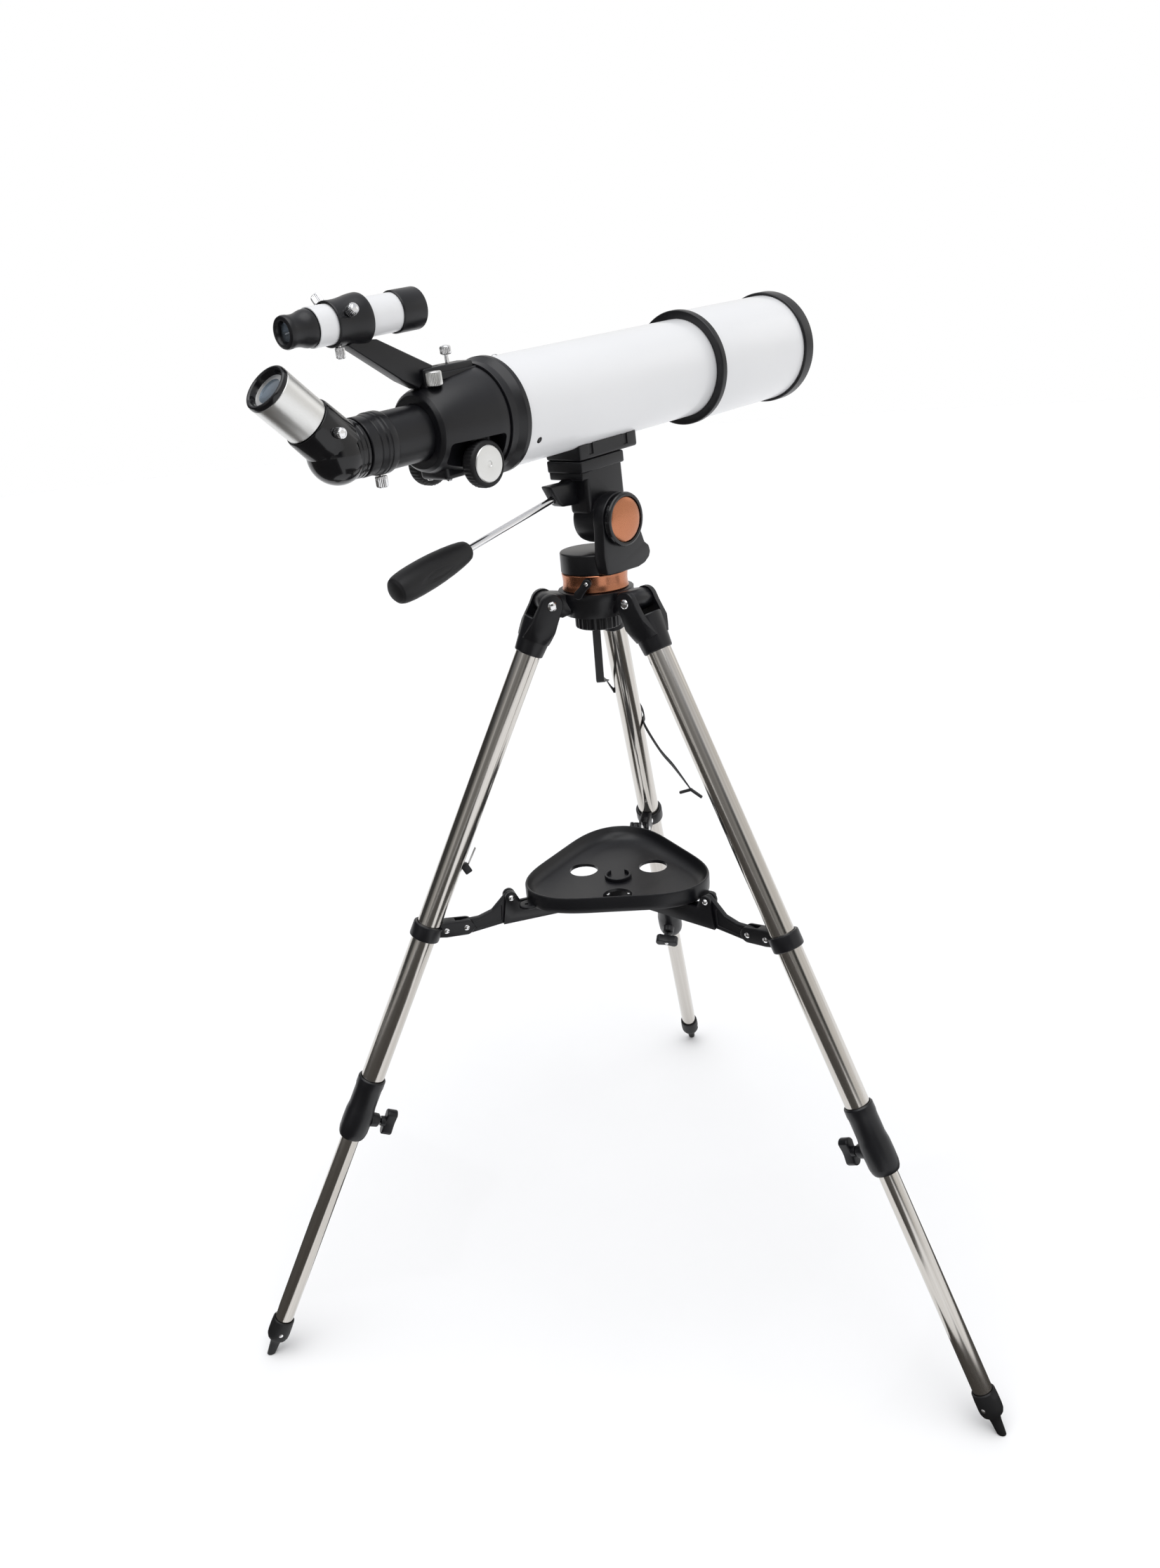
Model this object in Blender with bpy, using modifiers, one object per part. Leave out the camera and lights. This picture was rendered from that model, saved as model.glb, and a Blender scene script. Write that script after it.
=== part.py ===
"""White 80 mm refractor telescope on an alt-azimuth pan head and a steel tripod.

Metres, +Z up.  The floor is z = 0.  The tripod's axis is vertical, the telescope looks
along +X and is tilted up by TUBE_TILT.  The origin is the middle of the whole object's
floor rectangle, so the tripod's axis stands at (0, AXIS_Y).

Every leg is built in its own frame: origin on the hip pin, +X outward, +Y along the pin
and -Z down the leg.  The optical tube is built in a frame whose origin lies where the
optical axis crosses the tripod's axis, +X towards the objective.
"""
import bmesh
import bpy
from math import atan2, cos, hypot, pi, radians, sin, sqrt
from mathutils import Matrix, Vector

GAP = 0.0003
SIDES = 16
FINE_SIDES = 24
COARSE_SIDES = 8

# Tripod
AXIS_Y = 0.0989
LEG_AZIMUTHS = (radians(30), radians(150), radians(270))
HIP_RADIUS = 0.0454
HIP_Z = 0.7042
SPLAY = radians(26.6)
LEG_LENGTH = HIP_Z / cos(SPLAY)

PIN_R = 0.003
LUG_HALF = 0.0107
CHEEK_HALF = 0.0165
FORK_END = 0.0465

UPPER_R = 0.011
UPPER_WALL = 0.0012
UPPER_TOP = 0.0267
LOCK_TOP = 0.472
LOCK_END = 0.5355
UPPER_END = LOCK_END - 0.0075
LOWER_R = 0.0088
LOWER_TOP = 0.330
LOWER_WALL = 0.0012
FOOT_TOP = LEG_LENGTH - 0.042
SCREW_S = 0.516

# Spreader, in the vertical plane of each leg: radius from the axis and height
ARM_PIVOT = (0.1510, 0.4170)
KNUCKLE = (0.1065, 0.4370)
LINK_HALF = 0.0024
CHEEK_IN = 0.0030
CHEEK_OUT = 0.0056
COLLAR_S = 0.3172
TRAY_FLOOR = 0.4308
TRAY_TURN = radians(9.4)

# Head
RING_BOTTOM = 0.7120
DISC_BOTTOM = 0.7278
DISC_TOP = 0.7450
DISC_R = 0.029
ALT_Z = 0.7720
ARM_OUT = -0.0335
ARM_IN = -0.0223

# Optical tube
TUBE_Z = 0.8738
TUBE_TILT = radians(3.13)
TUBE_R = 0.0418
SHIELD_R = 0.0473
FINDER_X = -0.2300
FINDER_Z = 0.0823
FINDER_TILT = radians(1.3)
FOCUS_X = -0.148
FOCUS_Z = -0.028
DIAG_X = -0.2507

BLACK = (0.018, 0.018, 0.020)


# ---------------------------------------------------------------- building tools
def clear_scene():
    for item in list(bpy.data.objects):
        bpy.data.objects.remove(item, do_unlink=True)


def collection(name):
    group = bpy.data.collections.new(name)
    bpy.context.scene.collection.children.link(group)
    return group


clear_scene()
PARTS = collection("telescope_on_tripod")
CUTTERS = collection("cutters")


def finish_of(name, colour, roughness, metallic):
    mat = bpy.data.materials.new(name)
    mat.use_nodes = True
    shader = mat.node_tree.nodes["Principled BSDF"]
    shader.inputs["Base Color"].default_value = (*colour, 1.0)
    shader.inputs["Roughness"].default_value = roughness
    shader.inputs["Metallic"].default_value = metallic
    return mat


def frame(name, matrix, parent=None):
    """An empty that other objects are placed in."""
    empty = bpy.data.objects.new(name, None)
    PARTS.objects.link(empty)
    empty.parent = parent
    empty.matrix_basis = matrix
    return empty


def placed(at=(0, 0, 0), turn=(0, 0, 0)):
    return Matrix.Translation(at) @ Matrix.Rotation(turn[2], 4, "Z") @ \
        Matrix.Rotation(turn[1], 4, "Y") @ Matrix.Rotation(turn[0], 4, "X")


ALONG_X = (0, pi / 2, 0)
ALONG_Y = (-pi / 2, 0, 0)


def thing(mesh, parent, at=(0, 0, 0), turn=(0, 0, 0)):
    """A bare object holding the mesh; named and given a material by part()."""
    item = bpy.data.objects.new("shape", mesh)
    CUTTERS.objects.link(item)
    item.parent = parent
    item.matrix_basis = placed(at, turn)
    item.hide_render = True
    item.display_type = "WIRE"
    return item


def mesh_from(bm):
    mesh = bpy.data.meshes.new("shape")
    bm.to_mesh(mesh)
    bm.free()
    return mesh


def box(parent, low, high, bevel=0.0, turn=(0, 0, 0), pivot=(0, 0, 0)):
    """A block between two corners, turned about pivot."""
    bm = bmesh.new()
    bmesh.ops.create_cube(bm, size=1.0)
    size = Vector(high) - Vector(low)
    centre = (Vector(high) + Vector(low)) / 2 - Vector(pivot)
    bmesh.ops.scale(bm, vec=size, verts=bm.verts)
    bmesh.ops.translate(bm, vec=centre, verts=bm.verts)
    item = thing(mesh_from(bm), parent, pivot, turn)
    if bevel:
        edge = item.modifiers.new("bevel", "BEVEL")
        edge.width = bevel
        edge.segments = 2
    return item


def cone(parent, r_bottom, r_top, length, at=(0, 0, 0), turn=(0, 0, 0), sides=SIDES):
    """A cylinder or cone standing on `at` along its own +Z."""
    bm = bmesh.new()
    bmesh.ops.create_cone(bm, cap_ends=True, segments=sides, radius1=r_bottom,
                          radius2=r_top, depth=length)
    bmesh.ops.translate(bm, vec=(0, 0, length / 2), verts=bm.verts)
    return thing(mesh_from(bm), parent, at, turn)


def turned(parent, profile, at=(0, 0, 0), turn=(0, 0, 0), sides=SIDES, ring=False):
    """Turn (radius, height) points, outer side from top to bottom, about +Z."""
    mesh = bpy.data.meshes.new("profile")
    points = [(radius, 0.0, height) for radius, height in profile]
    edges = [(i, i + 1) for i in range(len(points) - 1)]
    if ring:
        edges.append((len(points) - 1, 0))
    mesh.from_pydata(points, edges, [])
    item = thing(mesh, parent, at, turn)
    screw = item.modifiers.new("turn", "SCREW")
    screw.axis = "Z"
    screw.steps = sides
    screw.render_steps = sides
    screw.use_merge_vertices = True
    screw.merge_threshold = 0.00001
    return item


def plate(parent, outline, low, high, at=(0, 0, 0), turn=(0, 0, 0)):
    """A flat outline in its own XY plane, filled from z = low to z = high."""
    curve = bpy.data.curves.new("outline", "CURVE")
    curve.dimensions = "2D"
    curve.fill_mode = "BOTH"
    curve.extrude = (high - low) / 2
    spline = curve.splines.new("POLY")
    spline.points.add(len(outline) - 1)
    for point, (x, y) in zip(spline.points, outline):
        point.co = (x, y, 0, 1)
    spline.use_cyclic_u = True
    guide = bpy.data.objects.new("outline", curve)
    CUTTERS.objects.link(guide)
    bpy.context.view_layer.update()
    mesh = bpy.data.meshes.new_from_object(guide.evaluated_get(
        bpy.context.evaluated_depsgraph_get()))
    bpy.data.objects.remove(guide)
    bm = bmesh.new()
    bm.from_mesh(mesh)
    bmesh.ops.remove_doubles(bm, verts=bm.verts, dist=0.00001)
    bmesh.ops.translate(bm, vec=(0, 0, (low + high) / 2), verts=bm.verts)
    bmesh.ops.recalc_face_normals(bm, faces=bm.faces)
    bm.to_mesh(mesh)
    bm.free()
    return thing(mesh, parent, at, turn)


def joined(item, other, operation="UNION"):
    cut = item.modifiers.new(operation.lower(), "BOOLEAN")
    cut.operation = operation
    cut.solver = "EXACT"
    cut.object = other
    return item


def union(item, *others):
    for other in others:
        joined(item, other)
    return item


def minus(item, *others):
    for other in others:
        joined(item, other, "DIFFERENCE")
    return item


def part(item, name, mat):
    """Turn a shape into a named sub-part with its material."""
    CUTTERS.objects.unlink(item)
    PARTS.objects.link(item)
    item.name = name
    item.data.name = name
    item.hide_render = False
    item.display_type = "TEXTURED"
    item.data.materials.clear()
    item.data.materials.append(mat)
    if len(item.data.polygons):
        item.data.shade_smooth()
        item.data.set_sharp_from_angle(angle=radians(35))
    return item


def arc(cx, cy, radius, start, end, steps):
    """Points on an arc, angles in degrees."""
    return [(cx + radius * cos(radians(start + (end - start) * i / steps)),
             cy + radius * sin(radians(start + (end - start) * i / steps)))
            for i in range(steps + 1)]


# ---------------------------------------------------------------- materials
white = finish_of("white_tube", (0.86, 0.87, 0.88), 0.22, 0.0)
plastic = finish_of("black_plastic", BLACK, 0.42, 0.0)
gloss = finish_of("black_gloss", (0.012, 0.012, 0.014), 0.16, 0.0)
rubber = finish_of("black_rubber", (0.014, 0.014, 0.014), 0.75, 0.0)
steel = finish_of("stainless_steel", (0.55, 0.53, 0.49), 0.22, 1.0)
chrome = finish_of("chrome", (0.80, 0.80, 0.82), 0.12, 1.0)
satin = finish_of("satin_aluminium", (0.72, 0.72, 0.71), 0.32, 1.0)
copper = finish_of("copper_trim", (0.72, 0.33, 0.20), 0.30, 1.0)
glass = finish_of("coated_glass", (0.20, 0.22, 0.30), 0.05, 0.0)
webbing = finish_of("black_strap", (0.016, 0.016, 0.018), 0.55, 0.0)

stand = frame("stand_axis", placed((0, AXIS_Y, 0)))


# ---------------------------------------------------------------- tripod hub
def hub():
    body = turned(stand, [
        (0, 0.7274), (0.0225, 0.7274), (0.0240, 0.7260), (0.0240, 0.7117), (0.0330, 0.7117),
        (0.0330, 0.7050), (0.0290, 0.6960), (0.0280, 0.6900), (0.0050, 0.6900),
        (0.0045, 0.6800), (0, 0.6800)], sides=FINE_SIDES)
    for azimuth in LEG_AZIMUTHS:
        outline = [(-0.018, -0.0102), (-0.018, 0.0062)] + \
            arc(0, 0, 0.0092, 100, -90, 9) + [(-0.010, -0.0125)]
        lug_frame = placed((HIP_RADIUS * cos(azimuth), HIP_RADIUS * sin(azimuth), HIP_Z),
                           (pi / 2, 0, azimuth))
        lug = plate(stand, outline, -LUG_HALF, LUG_HALF)
        lug.matrix_basis = lug_frame
        hole = cone(stand, PIN_R + GAP, PIN_R + GAP, 0.05, sides=COARSE_SIDES)
        hole.matrix_basis = lug_frame @ placed((0, 0, -0.025))
        union(body, lug)
        minus(body, hole)
    return part(minus(body, stud_hole(AZ_LOCK_R[0] - 0.003)), "tripod_hub", plastic)


AZ_LOCK_AZIMUTH = radians(205)
AZ_LOCK_Z = 0.7183
AZ_LOCK_R = (0.0205, 0.0330, 0.0395)


def lock_frame():
    """+Z of this frame points radially outward through the azimuth lock screw."""
    return placed((0, 0, AZ_LOCK_Z), (0, pi / 2, AZ_LOCK_AZIMUTH))


def stud_hole(start):
    hole = cone(stand, 0.0023, 0.0023, 0.030, sides=COARSE_SIDES)
    hole.matrix_basis = lock_frame() @ placed((0, 0, start))
    return hole


def azimuth_ring():
    ring = turned(stand, [(0.0284, 0.7270), (0.0290, 0.7262), (0.0290, 0.7128),
                          (0.0284, 0.7120), (0.0243, 0.7120), (0.0243, 0.7270)],
                  sides=FINE_SIDES, ring=True)
    return part(minus(ring, stud_hole(0.020)), "azimuth_ring", copper)


def wing_outline(half, waist, tip):
    """A two-lobed thumb bar: round lobes joined by a thinner waist."""
    return arc(half - tip, 0, tip, -80, 80, 5) + [(0, waist)] + \
        arc(-half + tip, 0, tip, 100, 260, 5) + [(0, -waist)]


def azimuth_lock_screw():
    start, bar, end = AZ_LOCK_R
    stud = cone(stand, 0.0020, 0.0020, bar + 0.001 - start, sides=COARSE_SIDES)
    stud.matrix_basis = lock_frame() @ placed((0, 0, start))
    wing = plate(stand, wing_outline(0.0100, 0.0034, 0.0040), 0, end - bar)
    wing.matrix_basis = lock_frame() @ placed((0, 0, bar), (0, 0, radians(-40)))
    return part(union(wing, stud), "azimuth_lock_screw", plastic)


def centre_knob():
    outline = []
    ribs = 12
    for i in range(ribs * 4):
        radius = 0.0202 if i % 4 < 2 else 0.0190
        outline.append((radius * cos(i * pi / 2 / ribs), radius * sin(i * pi / 2 / ribs)))
    knob = plate(stand, outline, 0.6774, 0.6896)
    hole = cone(stand, 0.0053, 0.0053, 0.012, at=(0, 0, 0.6790))
    return part(minus(knob, hole), "centre_knob", plastic)


def hip_pin(number, azimuth):
    half = CHEEK_HALF + GAP
    pin = turned(stand, [
        (0, half + 0.0016), (0.0030, half + 0.0016), (0.0043, half + 0.0006), (0.0043, half),
        (PIN_R, half), (PIN_R, -half), (0.0043, -half), (0.0043, -half - 0.0006),
        (0.0030, -half - 0.0016), (0, -half - 0.0016)], sides=COARSE_SIDES)
    pin.matrix_basis = placed((HIP_RADIUS * cos(azimuth), HIP_RADIUS * sin(azimuth), HIP_Z),
                              (pi / 2, 0, azimuth))
    return part(pin, f"hip_pin_{number}", chrome)


# ---------------------------------------------------------------- legs
def leg_frame(number, azimuth):
    place = placed((HIP_RADIUS * cos(azimuth), HIP_RADIUS * sin(azimuth), HIP_Z),
                   (0, -SPLAY, azimuth))
    return frame(f"leg_{number}_axis", place, stand)


def leg_point(radius, height):
    """A point of the leg's vertical plane, in the leg's frame (x, z)."""
    out, up = radius - HIP_RADIUS, height - HIP_Z
    return (out * cos(SPLAY) + up * sin(SPLAY), -out * sin(SPLAY) + up * cos(SPLAY))


def fork(number, leg):
    socket = cone(leg, 0.0128, 0.0154, FORK_END - 0.014, at=(0, 0, -FORK_END))
    outline = [(0.0102, -0.020)] + arc(0, 0, 0.0102, 0, 180, 10) + [(-0.0102, -0.020)]
    cheeks = plate(leg, outline, -CHEEK_HALF, CHEEK_HALF, turn=(pi / 2, 0, 0))
    slot = box(leg, (-0.030, -LUG_HALF - GAP, -0.0150), (0.030, LUG_HALF + GAP, 0.020))
    bore = cone(leg, UPPER_R + GAP, UPPER_R + GAP, FORK_END - UPPER_TOP + GAP + 0.01,
                at=(0, 0, -FORK_END - 0.01))
    hole = cone(leg, PIN_R + GAP, PIN_R + GAP, 0.05, at=(0, -0.025, 0), turn=ALONG_Y,
                sides=COARSE_SIDES)
    body = minus(union(cheeks, socket), slot, bore, hole)
    return part(body, f"leg_{number}_fork", plastic)


def tube_between(leg, radius, wall, top, end):
    return turned(leg, [(radius, -top), (radius, -end), (radius - wall, -end),
                        (radius - wall, -top)], ring=True)


def spreader_collar(number, leg):
    px, pz = leg_point(*ARM_PIVOT)
    ring = turned(leg, [(0.0132, 0.0072), (0.0140, 0.0062), (0.0140, -0.0062),
                        (0.0132, -0.0072), (0.0100, -0.0072), (0.0100, 0.0072)],
                  at=(0, 0, -COLLAR_S), ring=True)
    tilt = atan2(pz + COLLAR_S, -px)
    reach = hypot(px, pz + COLLAR_S)
    outline = [(0, 0.0078)] + arc(reach, 0, 0.0078, 90, -90, 7) + [(0, -0.0078)]
    lug = plate(leg, outline, -CHEEK_OUT, CHEEK_OUT)
    lug.matrix_basis = placed((0, 0, -COLLAR_S), (pi / 2, 0, 0)) @ \
        Matrix.Rotation(pi, 4, "Y") @ Matrix.Rotation(tilt, 4, "Z")
    slot = box(leg, (px - 0.025, -CHEEK_IN, pz - 0.03), (px + 0.0125, CHEEK_IN, pz + 0.03))
    bore = cone(leg, UPPER_R + GAP, UPPER_R + GAP, 0.05, at=(0, 0, -COLLAR_S - 0.025))
    return part(minus(union(ring, lug), slot, bore), f"leg_{number}_spreader_collar", plastic)


def lock_collar(number, leg):
    shell = turned(leg, [
        (0.0126, -LOCK_TOP), (0.0132, -LOCK_TOP - 0.001), (0.0133, -0.5060), (0.0137, -0.5090),
        (0.0137, -0.5290), (0.0116, -LOCK_END), (LOWER_R + GAP, -LOCK_END),
        (LOWER_R + GAP, -UPPER_END - GAP), (UPPER_R + GAP, -UPPER_END - GAP),
        (UPPER_R + GAP, -LOCK_TOP)], ring=True)
    boss = cone(leg, 0.0072, 0.0060, 0.0080, at=(-0.0125, 0, -SCREW_S),
                turn=(0, -pi / 2, 0), sides=COARSE_SIDES)
    hole = cone(leg, 0.0024, 0.0024, 0.020, at=(-0.0128, 0, -SCREW_S), turn=(0, -pi / 2, 0),
                sides=COARSE_SIDES)
    return part(minus(union(shell, boss), hole), f"leg_{number}_lock_collar", plastic)


def lock_screw(number, leg):
    stud = cone(leg, 0.0021, 0.0021, 0.0160, at=(-0.0131, 0, -SCREW_S),
                turn=(0, -pi / 2, 0), sides=COARSE_SIDES)
    wing = plate(leg, wing_outline(0.0130, 0.0042, 0.0054), 0, 0.0100)
    wing.matrix_basis = placed((-0.0262, 0, -SCREW_S), (0, -pi / 2, 0)) @ \
        Matrix.Rotation(radians(80) if number == 1 else 0, 4, "Z")
    return part(union(wing, stud), f"leg_{number}_lock_screw", plastic)


def foot(number, leg):
    body = turned(leg, [
        (0.0098, -FOOT_TOP), (0.0104, -FOOT_TOP - 0.001), (0.0108, -FOOT_TOP - 0.016),
        (0.0100, -FOOT_TOP - 0.0215), (0.0058, -FOOT_TOP - 0.0240),
        (0.0042, -FOOT_TOP - 0.0340), (0.0034, -LEG_LENGTH - 0.004), (0, -LEG_LENGTH - 0.004)]
        + [(0, -FOOT_TOP - 0.0180), (LOWER_R + GAP, -FOOT_TOP - 0.0180),
           (LOWER_R + GAP, -FOOT_TOP)], sides=SIDES, ring=True)
    floor = box(stand, (-0.6, -0.6, -0.1), (0.6, 0.6, 0.0))
    return part(minus(body, floor), f"leg_{number}_foot", rubber)


def leg_parts(number, azimuth):
    leg = leg_frame(number, azimuth)
    hip_pin(number, azimuth)
    fork(number, leg)
    part(tube_between(leg, UPPER_R, UPPER_WALL, UPPER_TOP, UPPER_END),
         f"leg_{number}_upper_tube", steel)
    spreader_collar(number, leg)
    lock_collar(number, leg)
    lock_screw(number, leg)
    part(tube_between(leg, LOWER_R, LOWER_WALL, LOWER_TOP, FOOT_TOP + 0.0177),
         f"leg_{number}_lower_tube", steel)
    foot(number, leg)


# ---------------------------------------------------------------- spreader and tray
def plane_matrix(azimuth):
    """Takes (radius, height, sideways) of a leg's plane to the stand's frame."""
    return placed((0, 0, 0), (pi / 2, 0, azimuth))


def spreader_link(number, azimuth):
    (px, pz), (kx, kz) = ARM_PIVOT, KNUCKLE
    outline = arc(px, pz, 0.0066, -95, 75, 7) + [(px - 0.013, pz + 0.0062)] + \
        [(px - 0.026, pz + 0.0100)] + arc(kx, kz, 0.0055, 60, 235, 8) + \
        [(kx + 0.010, kz - 0.0200), (px - 0.014, pz - 0.0075)]
    link = plate(stand, outline, -LINK_HALF, LINK_HALF)
    link.matrix_basis = plane_matrix(azimuth)
    eye = cone(stand, 0.0031, 0.0031, 0.02, sides=COARSE_SIDES)
    eye.matrix_basis = plane_matrix(azimuth) @ placed((kx, kz, -0.01))
    return part(minus(link, eye), f"spreader_link_{number}", plastic)


def spreader_bracket():
    kx, kz = KNUCKLE
    low, high = 0.4110, 0.4292
    body = cone(stand, 0.022, 0.022, high - low, at=(0, 0, low), sides=FINE_SIDES)
    for azimuth in LEG_AZIMUTHS:
        outline = [(0.010, low), (0.1160, low + 0.001)] + arc(kx, kz, 0.0058, -18, 160, 9) + \
            [(kx - 0.010, high), (0.010, high)]
        arm = plate(stand, outline, -CHEEK_OUT, CHEEK_OUT)
        slot = plate(stand, [(0.062, low - 0.01), (0.130, low - 0.01), (0.130, kz + 0.02),
                             (0.062, kz + 0.02)], -CHEEK_IN, CHEEK_IN)
        pin = cone(stand, 0.0028, 0.0028, 2 * CHEEK_OUT - 0.001, sides=COARSE_SIDES)
        arm.matrix_basis = plane_matrix(azimuth)
        slot.matrix_basis = plane_matrix(azimuth)
        pin.matrix_basis = plane_matrix(azimuth) @ placed((kx, kz, -CHEEK_OUT + 0.0005))
        union(body, union(minus(arm, slot), pin))
    return part(body, "spreader_bracket", plastic)


def tray_outline(inset, steps=36):
    """Rounded triangle with slightly bulging sides, corners at 0, 120 and 240 degrees."""
    points = []
    for i in range(steps):
        angle = 2 * pi * i / steps
        radius = 0.0800 + 0.0118 * cos(3 * angle) + 0.0010 * cos(6 * angle) - inset
        points.append((radius * cos(angle), radius * sin(angle)))
    return points


def tray():
    turn = (0, 0, LEG_AZIMUTHS[0] + TRAY_TURN)
    low = TRAY_FLOOR - 0.0010
    body = plate(stand, tray_outline(0.0), low, low + 0.0160, turn=turn)
    hollow = plate(stand, tray_outline(0.0030), low + 0.0028, low + 0.03, turn=turn)
    minus(body, hollow)
    for azimuth in LEG_AZIMUTHS:
        corner = azimuth + TRAY_TURN
        between = corner + radians(60)
        tab = plate(stand, [(0.080, -0.0075), (0.096, -0.0075)] +
                    arc(0.0970, 0, 0.0075, -80, 80, 5) + [(0.096, 0.0075), (0.080, 0.0075)],
                    low + 0.0003, low + 0.0033, turn=(0, 0, corner))
        hole = cone(stand, 0.0135, 0.0135, 0.02, sides=SIDES,
                    at=(0.0386 * cos(between), 0.0386 * sin(between), low - 0.01))
        union(body, tab)
        minus(body, hole)
    return part(body, "accessory_tray", plastic)


# ---------------------------------------------------------------- alt-azimuth head
def turntable():
    disc = turned(stand, [(0, DISC_TOP), (0.0275, DISC_TOP), (DISC_R, DISC_TOP - 0.0015),
                          (DISC_R, DISC_BOTTOM), (0, DISC_BOTTOM)], sides=FINE_SIDES)
    base = DISC_BOTTOM
    outline = arc(0, ALT_Z, 0.0225, -10, 190, 14) + \
        [(-0.0235, DISC_TOP), (-0.0200, base), (0.0200, base), (0.0330, base + 0.004),
         (0.0370, base + 0.0100), (0.0355, base + 0.0160), (0.0300, base + 0.0190)]
    arm = plate(stand, outline, -ARM_IN, -ARM_OUT, turn=(pi / 2, 0, 0))
    hole = cone(stand, 0.0044, 0.0044, 0.08, at=(0, -0.06, ALT_Z), turn=ALONG_Y,
                sides=COARSE_SIDES)
    return part(minus(union(disc, arm), hole), "turntable", plastic)


tube = frame("optical_axis", placed((0, 0, TUBE_Z), (0, -TUBE_TILT, 0)), stand)


def in_tube(x, z):
    """A point of the stand's y = 0 plane, in the tube's frame (x, z)."""
    up = z - TUBE_Z
    return (x * cos(TUBE_TILT) + up * sin(TUBE_TILT), -x * sin(TUBE_TILT) + up * cos(TUBE_TILT))


ALT_X, ALT_H = in_tube(0, ALT_Z)
HANDLE_START = in_tube(-0.0446, 0.7938)
HANDLE_END = in_tube(-0.2200, 0.7550)
HANDLE_DROP = atan2(HANDLE_START[1] - HANDLE_END[1], HANDLE_START[0] - HANDLE_END[0])


def handle_place(along):
    """A frame on the handle's axis, +Z pointing out to the grip."""
    x = HANDLE_START[0] - along * cos(HANDLE_DROP)
    z = HANDLE_START[1] - along * sin(HANDLE_DROP)
    return placed((x, 0, z), (0, -pi / 2 - HANDLE_DROP, 0))


def altitude_head():
    drum = turned(tube, [(0, 0.0050), (0.0150, 0.0050), (0.0195, 0.0020), (0.0205, -0.0030),
                         (0.0205, ARM_IN + GAP), (0, ARM_IN + GAP)],
                  at=(ALT_X, 0, ALT_H), turn=ALONG_Y, sides=FINE_SIDES)
    neck = box(tube, (ALT_X - 0.0197, -0.0188, ALT_H + 0.0063), (0.0215, 0.0045, -0.0551), 0.003)
    table = box(tube, (-0.0310, -0.0195, -0.0600), (0.0235, 0.0195, -0.0503), 0.002)
    plinth = box(tube, (-0.0302, -0.0187, -0.0660), (0.0100, 0.0187, -0.0590), 0.0015)
    socket = plate(tube, [(-0.0557, -0.0654), (-0.0340, -0.0664), (-0.0150, -0.0592),
                          (-0.0100, -0.0853), (-0.0262, -0.0862), (-0.0430, -0.0845),
                          (-0.0470, -0.0814)], -0.0063, 0.0061,
                   turn=(pi / 2, 0, 0))
    bore = cone(tube, 0.0031, 0.0031, 0.060, sides=COARSE_SIDES)
    bore.matrix_basis = handle_place(-0.0183)
    bolt = cone(tube, 0.0044, 0.0044, 0.028, at=(ALT_X, -0.030, ALT_H), turn=ALONG_Y,
                sides=COARSE_SIDES)
    return part(minus(union(table, plinth, neck, drum, socket), bore, bolt), "altitude_head", plastic)


def altitude_knob():
    knob = turned(stand, [
        (0, 0.0108), (0.0036, 0.0108), (0.0036, -0.0003), (0.0205, -0.0003),
        (0.0225, -0.0020), (0.0225, -0.0052), (0.0210, -0.0068), (0.0190, -0.0068),
        (0.0190, -0.0030), (0, -0.0030)],
        at=(0, ARM_OUT, ALT_Z), turn=ALONG_Y, sides=FINE_SIDES)
    return part(knob, "altitude_knob", plastic)


def altitude_cap():
    cap = turned(stand, [(0, -0.0033), (0.0185, -0.0033), (0.0185, -0.0060), (0.0150, -0.0074),
                         (0.0090, -0.0084), (0, -0.0089)],
                 at=(0, ARM_OUT, ALT_Z), turn=ALONG_Y, sides=FINE_SIDES)
    return part(cap, "altitude_cap", copper)


def pan_handle():
    reach = hypot(HANDLE_START[0] - HANDLE_END[0], HANDLE_START[1] - HANDLE_END[1])
    grip_start = reach - 0.077
    rod = cone(tube, 0.0028, 0.0028, grip_start + 0.0175 + 0.020, sides=COARSE_SIDES)
    rod.matrix_basis = handle_place(-0.0175)
    part(rod, "pan_handle_rod", chrome)
    grip = turned(tube, [
        (0, 0.0785), (0.0060, 0.0785), (0.0098, 0.0762), (0.0114, 0.0715), (0.0124, 0.0580),
        (0.0124, 0.0430), (0.0112, 0.0240), (0.0090, 0.0070), (0.0074, 0.0010), (0.0062, 0.0),
        (0.0034, 0.0), (0.0034, 0.0203), (0, 0.0203)], sides=SIDES)
    grip.matrix_basis = handle_place(grip_start)
    part(grip, "pan_handle_grip", rubber)


def tube_cutter(radius, low, high):
    return cone(tube, radius, radius, high - low, at=(low, 0, 0), turn=ALONG_X,
                sides=FINE_SIDES)


def tube_saddle():
    block = box(tube, (-0.0310, -0.0195, -0.0500), (0.0425, 0.0195, -0.0330), 0.002)
    return part(minus(block, tube_cutter(TUBE_R + GAP, -0.06, 0.06)), "tube_saddle", plastic)


# ---------------------------------------------------------------- optical tube
def along(profile, name, mat, sides=FINE_SIDES, ring=False):
    """Turn (radius, x) points about the optical axis, front end first."""
    return part(turned(tube, profile, turn=ALONG_X, sides=sides, ring=ring), name, mat)


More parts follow.
